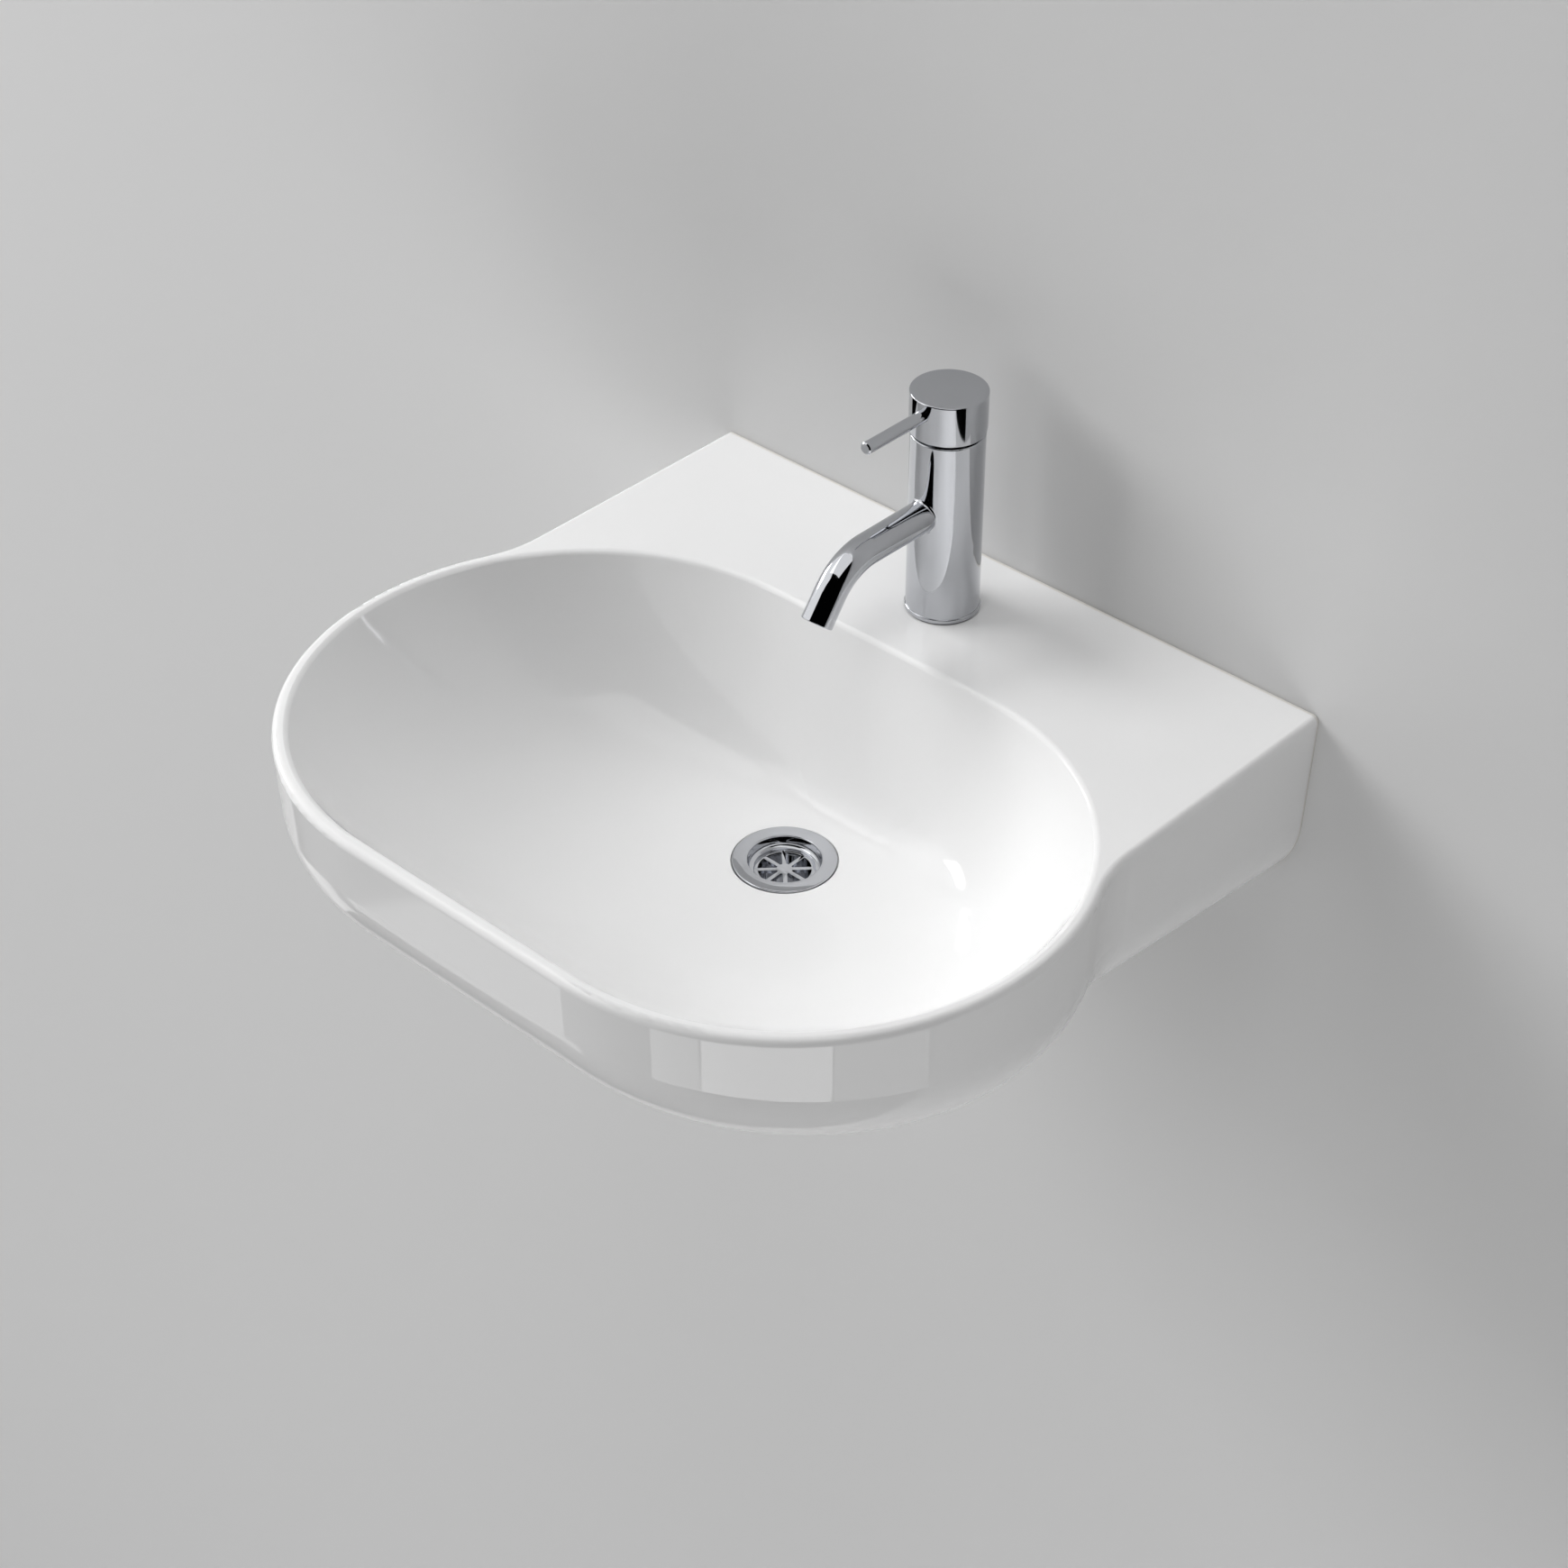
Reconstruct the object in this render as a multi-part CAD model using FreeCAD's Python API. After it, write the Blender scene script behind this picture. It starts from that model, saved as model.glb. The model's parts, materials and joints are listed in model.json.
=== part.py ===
import FreeCAD, Part
import math
import os

# Wall-hung basin with a pin-lever mixer and a grated waste.
# Millimetres and degrees. The wall is the plane Y = 0 and the basin reaches out to -Y, with +Z up.
# The origin lies in the wall plane, midway between the two wall studs.

# Shared values
OVERRUN = 5.0
TOUCH = 0.001
THREAD_GAP = 0.1
SLIP_GAP = 0.3
RUNNING_GAP = 0.05
SEAT_GAP = 0.05

# Basin plan
END_RADIUS = 180.0
END_OFFSET = 85.0
SHELF_DEPTH = 110.0
SHOULDER_RADIUS = 90.0
SHOULDER_STEP = 25.0

# Basin section
RIM_HEIGHT = 70.0
BACK_HEIGHT = 140.0
FRONT_HEIGHT = 92.0
SIDE_DRAFT_DEG = 2.5
BASE_ROUND = 60.0
RIM_OUTER_ROUND = 4.5
RIM_INNER_ROUND = 3.8
SHELL = 11.0
DECK_THICKNESS = 14.0
BACK_WALL = 14.0
ACCESS_HALF_WIDTH = 170.0
ACCESS_REACH = 125.0
ACCESS_ROUND = 18.0

# Bowl, from the rim down to the land round the waste
BOWL_RIM = 9.0
BOWL_DEPTH = 118.0
LAND_RADIUS = 40.0
LAND_OFFSET = 4.0
WASTE_BEHIND_ENDS = 87.0
BOWL_DEGREE = 3
BOWL_SHARES = (-0.03, 0.0, 0.06, 0.13, 0.22, 0.33, 0.46, 0.6, 0.75, 0.9, 1.0)

# Waste
FLANGE_RADIUS = 32.5
FLANGE_THICKNESS = 2.2
FLANGE_PROUD = 1.0
FLANGE_ROUND = 0.9
FLANGE_MARGIN = 0.8
MOUTH_WALL = 0.8
MOUTH_ROUND = 1.0
NECK_STEP = 2.65
NECK_LENGTH = 6.0
WASTE_HOLE_GAP = 0.9
TAIL_RADIUS = 20.95
TAIL_LENGTH = 85.0
TAIL_WALL = 3.15
TRAP_THREAD_LENGTH = 45.0
TAIL_GROOVE_WIDTH = 2.0
TAIL_GROOVE_DEPTH = 0.6
GRATE_WALL = 1.75
GRATE_DEPTH = 8.0
GRATE_THICKNESS = 2.4
GRATE_EDGE = 1.2
GRATE_HUB_RADIUS = 5.0
GRATE_SPOKES = 8
GRATE_SPOKE_WIDTH = 2.6
UPPER_SEAL_THICKNESS = 1.5
UPPER_SEAL_INSET = 2.1
BOSS_WALL = 13.5
BOSS_THICKNESS = 12.0
LOWER_SEAL_THICKNESS = 4.0
LOWER_SEAL_WIDTH = 11.0
SLIP_WASHER_THICKNESS = 1.6
BACKNUT_FLATS = 58.0
BACKNUT_THICKNESS = 9.0

# Wall fixing
STUD_SPACING = 280.0
STUD_RADIUS = 5.0
STUD_INTO_WALL = 60.0
STUD_INSIDE = 36.0
STUD_NECK_LENGTH = 2.0
STUD_NECK_DEPTH = 0.5
SLEEVE_RADIUS = 8.5
SLEEVE_SHOULDER_RADIUS = 14.0
SLEEVE_SHOULDER = 3.0
STUD_WASHER_RADIUS = 12.5
STUD_WASHER_THICKNESS = 2.0
STUD_NUT_FLATS = 17.0
STUD_NUT_THICKNESS = 8.0

# Mixer body and spout, heights above the shelf
TAP_SETBACK = 60.6
TAP_HOLE_RADIUS = 17.5
BODY_WALL = 3.45
BODY_ROUND = 0.8
BASE_SEAL_INSET = 0.35
BASE_SEAL_THICKNESS = 1.0
BASE_RING_LIP = 0.55
BASE_RING_THICKNESS = 2.6
BASE_RING_ROUND = 0.6
BASE_WALL = 4.65
BASE_CAVITY_DROP = 16.2
SPOUT_RADIUS = 10.0
SPOUT_HEIGHT = 74.2
SPOUT_RUN = 71.4
SPOUT_BEND_RADIUS = 40.0
SPOUT_BEND_DEG = 53.0
SPOUT_DROP = 19.4
SPOUT_ROUND = 1.6
SPOUT_LIP_ROUND = 0.6
SPOUT_WALL = 3.5
OUTLET_RADIUS = 4.5
OUTLET_OFFSET = 6.5
INLET_EDGE = 3.1
INLET_FORWARD = 2.0
INLET_RADIUS = 2.8
INLET_THREAD_RADIUS = 4.5
INLET_THREAD_LENGTH = 12.0

# Aerator in the spout's mouth
AERATOR_SLEEVE = 1.9
AERATOR_LENGTH = 10.0
AERATOR_WALL = 1.1
AERATOR_RECESS = 0.8
AERATOR_SEAL_THICKNESS = 1.4
AERATOR_HOLE_RADIUS = 0.9
AERATOR_EDGE = 0.9
AERATOR_ROWS = 2
AERATOR_RING_HOLES = 6

# Clamp under the shelf
CLAMP_STUD_RADIUS = 4.0
CLAMP_STUD_MARGIN = 0.6
CLAMP_STUD_HOLD = 8.0
CLAMP_STUD_TAIL = 48.0
HORSESHOE_RADIUS = 26.0
HORSESHOE_SLOT_HALF = 16.0
HORSESHOE_WEB = 2.4
HORSESHOE_SEAL_THICKNESS = 3.0
HORSESHOE_PLATE_THICKNESS = 2.5
CLAMP_NUT_FLATS = 13.0
CLAMP_NUT_THICKNESS = 10.0

# Cartridge, stacked up from its seat
SEAT_ABOVE_SPOUT = 9.8
CARTRIDGE_RADIUS = 17.2
CARTRIDGE_WALL = 1.7
BASE_THICKNESS = 4.0
PORT_SEAL_WIDTH = 1.2
PORT_SEAL_THICKNESS = 1.5
DISC_THICKNESS = 5.0
FIXED_DISC_MARGIN = 1.0
MOVING_DISC_MARGIN = 0.9
MOVING_DISC_BACK = 2.2
MIX_SIDE = 4.9
MIX_NEAR = 2.5
MIX_EDGE = 4.4
MIX_DEPTH = 2.0
CARRIER_THICKNESS = 7.0
TONGUE_MARGIN = 2.2
TONGUE_WIDTH = 3.0
TONGUE_HALF_LENGTH = 4.0
TONGUE_LENGTH = 5.0
ROTOR_FLANGE_THICKNESS = 3.6
NECK_OUTER_RADIUS = 10.0
NECK_ABOVE_PIVOT = 5.5
NECK_SLOT_HALF_LENGTH = 7.5
LID_THICKNESS = 3.0
NUT_SEAT = 2.3
NUT_BORE_RADIUS = 12.0
NUT_THICKNESS = 6.0
NUT_KEY_FLATS = 27.0
NUT_KEY_DEPTH = 3.0
SHROUD_THICKNESS = 5.4
SHROUD_DROP = 0.4

# Lever
PIVOT_RISE = 4.8
PIVOT_RADIUS = 2.0
PIVOT_END_GAP = 0.5
LEVER_LIFT_DEG = 18.0
SPINDLE_SIDE = 8.0
SPINDLE_BELOW_PIVOT = 6.5
SPINDLE_DROP = 9.2
ARM_RADIUS = 2.9
BALL_RADIUS = 3.4
BALL_GAP = 0.2
BALL_DEPTH = 4.5
CAP_LIP = 0.85
CAP_GROOVE = 1.8
CAP_HEIGHT = 26.4
CAP_ROUND = 0.8
CAP_WALL = 3.0
CAP_ROOF = 5.2
CAP_BOSS_RADIUS = 9.5
CAP_BOSS_RISE = 4.2
CAP_CLEARANCE = 0.4
PIN_RADIUS = 3.9
PIN_DROP = 8.2
PIN_TIP = 74.4
PIN_CHAMFER = 0.8
PIN_THREAD_RADIUS = 3.0
PIN_THREAD_LENGTH = 4.0
GRUB_RADIUS = 2.5
GRUB_DROP = 14.7
GRUB_LENGTH = 5.0
GRUB_SOCKET_FLATS = 2.5
GRUB_SOCKET_DEPTH = 2.5

# Worked out from the sizes above: basin and waste
SHELF_HALF_WIDTH = END_OFFSET + END_RADIUS - SHOULDER_STEP
END_SETBACK = SHELF_DEPTH + END_RADIUS
WASTE_SETBACK = END_SETBACK - WASTE_BEHIND_ENDS
FRONT_REACH = END_SETBACK + END_RADIUS
FLOOR_SLOPE = (BACK_HEIGHT - FRONT_HEIGHT) / FRONT_REACH
DRAFT = math.tan(math.radians(SIDE_DRAFT_DEG))
STUD_PLACES = (-STUD_SPACING / 2, STUD_SPACING / 2)
NECK_RADIUS = TAIL_RADIUS + NECK_STEP
MOUTH_RADIUS = NECK_RADIUS - MOUTH_WALL
TAIL_BORE_RADIUS = TAIL_RADIUS - TAIL_WALL
GRATE_RADIUS = TAIL_RADIUS - GRATE_WALL
GRATE_OPEN_RADIUS = TAIL_BORE_RADIUS - GRATE_EDGE
BOSS_RADIUS = FLANGE_RADIUS + BOSS_WALL
WASTE_HOLE_RADIUS = NECK_RADIUS + WASTE_HOLE_GAP
WASTE_TOP = RIM_HEIGHT - BOWL_DEPTH + FLANGE_PROUD
WASTE_SEAT = WASTE_TOP - FLANGE_THICKNESS - UPPER_SEAL_THICKNESS
WASTE_UNDERSIDE = WASTE_SEAT - BOSS_THICKNESS

# Worked out from the sizes above: mixer across
CARTRIDGE_INNER = CARTRIDGE_RADIUS - CARTRIDGE_WALL
FIXED_DISC_RADIUS = CARTRIDGE_INNER - FIXED_DISC_MARGIN
MOVING_DISC_RADIUS = CARTRIDGE_INNER - MOVING_DISC_BACK - MOVING_DISC_MARGIN
MIX_HALF_WIDTH = MOVING_DISC_RADIUS - MIX_SIDE
MIX_FAR = MOVING_DISC_BACK + MOVING_DISC_RADIUS - MIX_EDGE
CARRIER_HALF_WIDTH = CARTRIDGE_INNER - TONGUE_MARGIN - TONGUE_WIDTH - SLIP_GAP
INLET_OFFSET = FIXED_DISC_RADIUS - INLET_RADIUS - INLET_EDGE
INLET_PLACES = (-INLET_OFFSET, INLET_OFFSET)
NUT_RADIUS = CARTRIDGE_RADIUS + NUT_SEAT
BODY_RADIUS = NUT_RADIUS + BODY_WALL
BASE_SEAL_RADIUS = BODY_RADIUS - BASE_SEAL_INSET
BASE_RING_RADIUS = BODY_RADIUS + BASE_RING_LIP
BASE_CAVITY_RADIUS = BODY_RADIUS - BASE_WALL
CAP_RADIUS = BODY_RADIUS + CAP_LIP
SPOUT_BORE_RADIUS = SPOUT_RADIUS - SPOUT_WALL
AERATOR_RADIUS = SPOUT_RADIUS - AERATOR_SLEEVE
AERATOR_INNER = AERATOR_RADIUS - AERATOR_WALL
AERATOR_HOLE_PITCH = (AERATOR_INNER - AERATOR_EDGE - AERATOR_HOLE_RADIUS) / AERATOR_ROWS
CLAMP_STUD_OFFSET = TAP_HOLE_RADIUS - CLAMP_STUD_MARGIN - CLAMP_STUD_RADIUS
HORSESHOE_SLOT_END = CLAMP_STUD_OFFSET - CLAMP_STUD_RADIUS - SLIP_GAP - HORSESHOE_WEB

# Worked out from the sizes above: mixer upwards from the shelf
BODY_FOOT = BASE_SEAL_THICKNESS + BASE_RING_THICKNESS
BASE_CAVITY_TOP = SPOUT_HEIGHT - BASE_CAVITY_DROP
SEAT_HEIGHT = SPOUT_HEIGHT + SEAT_ABOVE_SPOUT
BASE_TOP = SEAT_HEIGHT + BASE_THICKNESS
FIXED_TOP = BASE_TOP + DISC_THICKNESS
MOVING_TOP = FIXED_TOP + DISC_THICKNESS
CARRIER_TOP = MOVING_TOP + CARRIER_THICKNESS
BALL_HEIGHT = CARRIER_TOP - BALL_DEPTH + BALL_RADIUS + SLIP_GAP
ROTOR_BOTTOM = CARRIER_TOP + SLIP_GAP
ROTOR_SHOULDER = ROTOR_BOTTOM + ROTOR_FLANGE_THICKNESS
HOUSING_TOP = ROTOR_SHOULDER + SLIP_GAP + LID_THICKNESS
PIVOT_HEIGHT = HOUSING_TOP + PIVOT_RISE
NECK_TOP = PIVOT_HEIGHT + NECK_ABOVE_PIVOT
NUT_TOP = HOUSING_TOP + NUT_THICKNESS
BODY_TOP = NUT_TOP + SHROUD_THICKNESS + SHROUD_DROP
CAP_BOTTOM = BODY_TOP + CAP_GROOVE
CAP_TOP = CAP_BOTTOM + CAP_HEIGHT
CAP_CEILING = CAP_TOP - CAP_ROOF
CAP_BOSS_BOTTOM = CAP_BOTTOM + CAP_BOSS_RISE
SPINDLE_TOP = CAP_TOP - SPINDLE_DROP
PIN_HEIGHT = CAP_TOP - PIN_DROP
GRUB_HEIGHT = CAP_TOP - GRUB_DROP
AERATOR_ROOM = AERATOR_RECESS + AERATOR_LENGTH + AERATOR_SEAL_THICKNESS

UP = FreeCAD.Vector(0, 0, 1)
DOWN = FreeCAD.Vector(0, 0, -1)
ACROSS = FreeCAD.Vector(1, 0, 0)
TO_WALL = FreeCAD.Vector(0, 1, 0)
TO_FRONT = FreeCAD.Vector(0, -1, 0)


def on_tap(x, y, height):
    """Point given from the mixer's axis and the shelf's top."""
    return FreeCAD.Vector(x, y - TAP_SETBACK, RIM_HEIGHT + height)


def on_waste(x, y, level):
    """Point given from the waste's axis, at a level of the part."""
    return FreeCAD.Vector(x, y - WASTE_SETBACK, level)


def polar(centre, radius, angle):
    """Point at a radius and an angle, in radians, round a centre in plan."""
    return centre + FreeCAD.Vector(radius * math.cos(angle), radius * math.sin(angle), 0)


def line(start, end):
    return Part.LineSegment(start, end).toShape()


def arc(start, middle, end):
    return Part.Arc(start, middle, end).toShape()


def rod(radius, length, base, axis=UP):
    return Part.makeCylinder(radius, length, base, axis)


def ring(outer, inner, length, base, axis=UP):
    """Round washer: a rod with a bore right through it."""
    bore = rod(inner, length + 2 * OVERRUN, base - axis * OVERRUN, axis)
    return rod(outer, length, base, axis).cut(bore)


def block(x, y, z, corner):
    return Part.makeBox(x, y, z, corner)


def prism(flats, length, base, axis=UP):
    """Hexagonal bar of a width across flats."""
    radius = flats / math.sqrt(3)
    corners = [polar(FreeCAD.Vector(), radius, math.radians(60 * turn)) for turn in range(7)]
    bar = Part.Face(Part.makePolygon(corners)).extrude(UP * length)
    bar.Placement = FreeCAD.Placement(base, FreeCAD.Rotation(UP, axis))
    return bar


def hex_nut(flats, bore, length, base, axis=UP):
    hole = rod(bore, length + 2 * OVERRUN, base - axis * OVERRUN, axis)
    return prism(flats, length, base, axis).cut(hole)


def turned(profile, axis_point):
    """Solid of revolution about a vertical axis, from (radius, level) corners."""
    corners = [FreeCAD.Vector(axis_point.x + radius, axis_point.y, level) for radius, level in profile]
    face = Part.Face(Part.makePolygon(corners + corners[:1]))
    return face.revolve(axis_point, UP, 360)


def edges_where(shape, test):
    """Edges whose two ends and middle all pass a test on the point."""
    found = []
    for edge in shape.Edges:
        middle = edge.valueAt((edge.FirstParameter + edge.LastParameter) / 2)
        if all(test(point) for point in [vertex.Point for vertex in edge.Vertexes] + [middle]):
            found.append(edge)
    return found


def round_circles(shape, size, radius, level):
    """Rounds the full circles of a radius at a level."""
    def chosen(edge):
        curve = edge.Curve
        return (isinstance(curve, Part.Circle) and abs(curve.Radius - radius) < TOUCH
                and abs(curve.Center.z - level) < TOUCH)
    return shape.makeFillet(size, [edge for edge in shape.Edges if chosen(edge)])


def mirrored(point):
    return FreeCAD.Vector(-point.x, point.y, point.z)


def basin_outline(inset, level, back):
    """Plan of the basin drawn in by an inset: shelf sides, hollow shoulders, round ends, straight front."""
    across = SHELF_HALF_WIDTH + SHOULDER_RADIUS - END_OFFSET
    turn = math.acos(across / (END_RADIUS + SHOULDER_RADIUS))
    shoulder_y = math.tan(turn) * across - END_SETBACK
    shoulder = FreeCAD.Vector(SHELF_HALF_WIDTH + SHOULDER_RADIUS, shoulder_y, level)
    end = FreeCAD.Vector(END_OFFSET, -END_SETBACK, level)
    corner = FreeCAD.Vector(SHELF_HALF_WIDTH - inset, -back, level)
    shelf_end = polar(shoulder, SHOULDER_RADIUS + inset, math.pi)
    shoulder_middle = polar(shoulder, SHOULDER_RADIUS + inset, math.pi + turn / 2)
    end_start = polar(end, END_RADIUS - inset, turn)
    end_middle = polar(end, END_RADIUS - inset, (turn - math.pi / 2) / 2)
    front = polar(end, END_RADIUS - inset, -math.pi / 2)
    return Part.Wire([
        line(corner, shelf_end),
        arc(shelf_end, shoulder_middle, end_start),
        arc(end_start, end_middle, front),
        line(front, mirrored(front)),
        arc(mirrored(front), mirrored(end_middle), mirrored(end_start)),
        arc(mirrored(end_start), mirrored(shoulder_middle), mirrored(shelf_end)),
        line(mirrored(shelf_end), mirrored(corner)),
        line(mirrored(corner), corner),
    ])


def floor_level(y, inset):
    """Level of the sloping underside, raised by an inset square to it."""
    rise = inset * math.sqrt(1 + FLOOR_SLOPE ** 2)
    return RIM_HEIGHT - BACK_HEIGHT - FLOOR_SLOPE * y + rise


def below_floor(inset):
    """Everything under the sloping underside, wide enough to trim the basin."""
    side = SHELF_HALF_WIDTH + END_RADIUS
    far = FRONT_REACH + END_RADIUS
    deep = RIM_HEIGHT - 2 * BACK_HEIGHT
    corners = [
        FreeCAD.Vector(-side, END_RADIUS, floor_level(END_RADIUS, inset)),
        FreeCAD.Vector(-side, -far, floor_level(-far, inset)),
        FreeCAD.Vector(-side, -far, deep),
        FreeCAD.Vector(-side, END_RADIUS, deep),
    ]
    face = Part.Face(Part.makePolygon(corners + corners[:1]))
    return face.extrude(ACROSS * (2 * side))


def basin_hull(inset, top_depth, back):
    """Drafted outer form of the basin with its large rounding underneath."""
    bottom_depth = BACK_HEIGHT + OVERRUN
    top = basin_outline(inset + top_depth * DRAFT, RIM_HEIGHT - top_depth, back)
    bottom = basin_outline(inset + bottom_depth * DRAFT, RIM_HEIGHT - bottom_depth, back)
    hull = Part.makeLoft([top, bottom], True, True).cut(below_floor(inset))

    def under(point):
        return abs(point.z - floor_level(point.y, inset)) < TOUCH

    def at_back(point):
        return abs(point.y + back) < TOUCH

    rear = [edge.hashCode() for edge in edges_where(hull, at_back)]
    base = [edge for edge in edges_where(hull, under) if edge.hashCode() not in rear]
    return hull.makeFillet(BASE_ROUND - inset, base)


def bowl_section(share, grow):
    """Level outline of the bowl at a share of the way from rim to land, grown outwards."""
    radius = END_RADIUS - BOWL_RIM + (LAND_RADIUS - END_RADIUS + BOWL_RIM) * share + grow
    offset = END_OFFSET + (LAND_OFFSET - END_OFFSET) * share
    setback = END_SETBACK + (WASTE_SETBACK - END_SETBACK) * share
    level = RIM_HEIGHT - BOWL_DEPTH * (1 - (1 - share) ** BOWL_DEGREE) - grow
    right = FreeCAD.Vector(offset, -setback, level)
    left = mirrored(right)
    back_right = polar(right, radius, math.pi / 2)
    front_right = polar(right, radius, -math.pi / 2)
    return Part.Wire([
        line(mirrored(back_right), back_right),
        arc(back_right, polar(right, radius, 0), front_right),
        line(front_right, mirrored(front_right)),
        arc(mirrored(front_right), polar(left, radius, math.pi), mirrored(back_right)),
    ])


def bowl_form(grow):
    """Solid form of the bowl's inside, or of its outer skin when grown."""
    return Part.makeLoft([bowl_section(share, grow) for share in BOWL_SHARES], True, False)


def rounded_slab(half_width, near, far, bottom, top, radius):
    """Upright slab with rounded corners, between two planes in front of the wall."""
    slab = block(2 * half_width, far - near, top - bottom, FreeCAD.Vector(-half_width, -far, bottom))

    def front_corner(edge):
        return abs(edge.Length - (top - bottom)) < TOUCH and abs(edge.CenterOfMass.y + far) < TOUCH

    return slab.makeFillet(radius, [edge for edge in slab.Edges if front_corner(edge)])


def make_basin_body():
    """Hollow china casting: shelf, bowl, apron and back wall, open to the rear underneath."""
    hull = basin_hull(0, 0, 0)

    def on_top(point):
        return abs(point.z - RIM_HEIGHT) < TOUCH

    rim = [edge for edge in edges_where(hull, on_top) if edge.CenterOfMass.y < -TOUCH]
    skin = bowl_form(SHELL)
    boss = rod(BOSS_RADIUS, RIM_HEIGHT - BOWL_DEPTH - WASTE_UNDERSIDE, on_waste(0, 0, WASTE_UNDERSIDE))
    body = hull.makeFillet(RIM_OUTER_ROUND, rim).fuse([skin.common(below_floor(0)), boss]).removeSplitter()
    body = body.cut(bowl_form(0))

    def on_bowl_edge(point):
        beyond = max(abs(point.x) - END_OFFSET, 0)
        reach = math.hypot(beyond, point.y + END_SETBACK)
        return on_top(point) and reach < END_RADIUS - BOWL_RIM + TOUCH

    body = body.makeFillet(RIM_INNER_ROUND, edges_where(body, on_bowl_edge))
    core = basin_hull(SHELL, DECK_THICKNESS, BACK_WALL).cut(skin)
    access = rounded_slab(ACCESS_HALF_WIDTH, BACK_WALL, ACCESS_REACH, floor_level(0, 0) - OVERRUN,
                          floor_level(-ACCESS_REACH, SHELL) + OVERRUN, ACCESS_ROUND)
    through = DECK_THICKNESS + 2 * OVERRUN
    cuts = [
        core,
        access,
        rod(TAP_HOLE_RADIUS, through, on_tap(0, 0, OVERRUN), DOWN),
        rod(FLANGE_RADIUS + FLANGE_MARGIN, BOWL_DEPTH, on_waste(0, 0, WASTE_SEAT)),
        rod(WASTE_HOLE_RADIUS, BOWL_DEPTH, on_waste(0, 0, WASTE_UNDERSIDE - OVERRUN)),
        rod(BOSS_RADIUS, BACK_HEIGHT, on_waste(0, 0, WASTE_UNDERSIDE), DOWN),
    ]
    for x in STUD_PLACES:
        cuts.append(rod(SLEEVE_RADIUS + SLIP_GAP, BACK_WALL + 2 * OVERRUN,
                        FreeCAD.Vector(x, OVERRUN, 0), TO_FRONT))
    return body.cut(cuts)


def make_wall_fixing():
    """Studs, sleeves, washers and nuts, one of each on both sides."""
    studs = []
    sleeves = []
    washers = []
    nuts = []
    washer_y = BACK_WALL + SLEEVE_SHOULDER
    nut_y = washer_y + STUD_WASHER_THICKNESS
    for x in STUD_PLACES:
        in_wall = rod(STUD_RADIUS, STUD_INTO_WALL, FreeCAD.Vector(x, 0, 0), TO_WALL)
        neck = rod(STUD_RADIUS - STUD_NECK_DEPTH, STUD_NECK_LENGTH, FreeCAD.Vector(x, 0, 0), TO_FRONT)
        inside = rod(STUD_RADIUS, STUD_INSIDE - STUD_NECK_LENGTH,
                     FreeCAD.Vector(x, -STUD_NECK_LENGTH, 0), TO_FRONT)
        studs.append(in_wall.fuse([neck, inside]))
        sleeve = rod(SLEEVE_RADIUS, washer_y, FreeCAD.Vector(x, 0, 0), TO_FRONT)
        shoulder = rod(SLEEVE_SHOULDER_RADIUS, SLEEVE_SHOULDER, FreeCAD.Vector(x, -BACK_WALL, 0), TO_FRONT)
        bore = rod(STUD_RADIUS + SLIP_GAP, washer_y + 2 * OVERRUN, FreeCAD.Vector(x, OVERRUN, 0), TO_FRONT)
        sleeves.append(sleeve.fuse(shoulder).cut(bore))
        washers.append(ring(STUD_WASHER_RADIUS, STUD_RADIUS + SLIP_GAP, STUD_WASHER_THICKNESS,
                            FreeCAD.Vector(x, -washer_y, 0), TO_FRONT))
        nuts.append(hex_nut(STUD_NUT_FLATS, STUD_RADIUS + THREAD_GAP, STUD_NUT_THICKNESS,
                            FreeCAD.Vector(x, -nut_y, 0), TO_FRONT))
    save("wall_studs", *studs)
    save("stud_sleeves", *sleeves)
    save("stud_washers", *washers)
    save("stud_nuts", *nuts)


def make_waste_body():
    """Flange with a dished mouth, neck through the china, and tail grooved above the trap's thread."""
    grate_top = WASTE_TOP - GRATE_DEPTH
    grate_seat = grate_top - GRATE_THICKNESS
    flange_under = WASTE_TOP - FLANGE_THICKNESS
    tail_end = WASTE_TOP - TAIL_LENGTH
    groove_end = tail_end + TRAP_THREAD_LENGTH
    body = turned([
        (MOUTH_RADIUS, WASTE_TOP),
        (FLANGE_RADIUS, WASTE_TOP),
        (FLANGE_RADIUS, flange_under),
        (NECK_RADIUS, flange_under),
        (NECK_RADIUS, flange_under - NECK_LENGTH),
        (TAIL_RADIUS, flange_under - NECK_LENGTH),
        (TAIL_RADIUS, groove_end + TAIL_GROOVE_WIDTH),
        (TAIL_RADIUS - TAIL_GROOVE_DEPTH, groove_end + TAIL_GROOVE_WIDTH),
        (TAIL_RADIUS - TAIL_GROOVE_DEPTH, groove_end),
        (TAIL_RADIUS, groove_end),
        (TAIL_RADIUS, tail_end),
        (TAIL_BORE_RADIUS, tail_end),
        (TAIL_BORE_RADIUS, grate_seat),
        (GRATE_RADIUS, grate_seat),
        (GRATE_RADIUS, grate_top),
    ], on_waste(0, 0, 0))
    body = round_circles(body, FLANGE_ROUND, FLANGE_RADIUS, WASTE_TOP)
    return round_circles(body, MOUTH_ROUND, MOUTH_RADIUS, WASTE_TOP)


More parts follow.
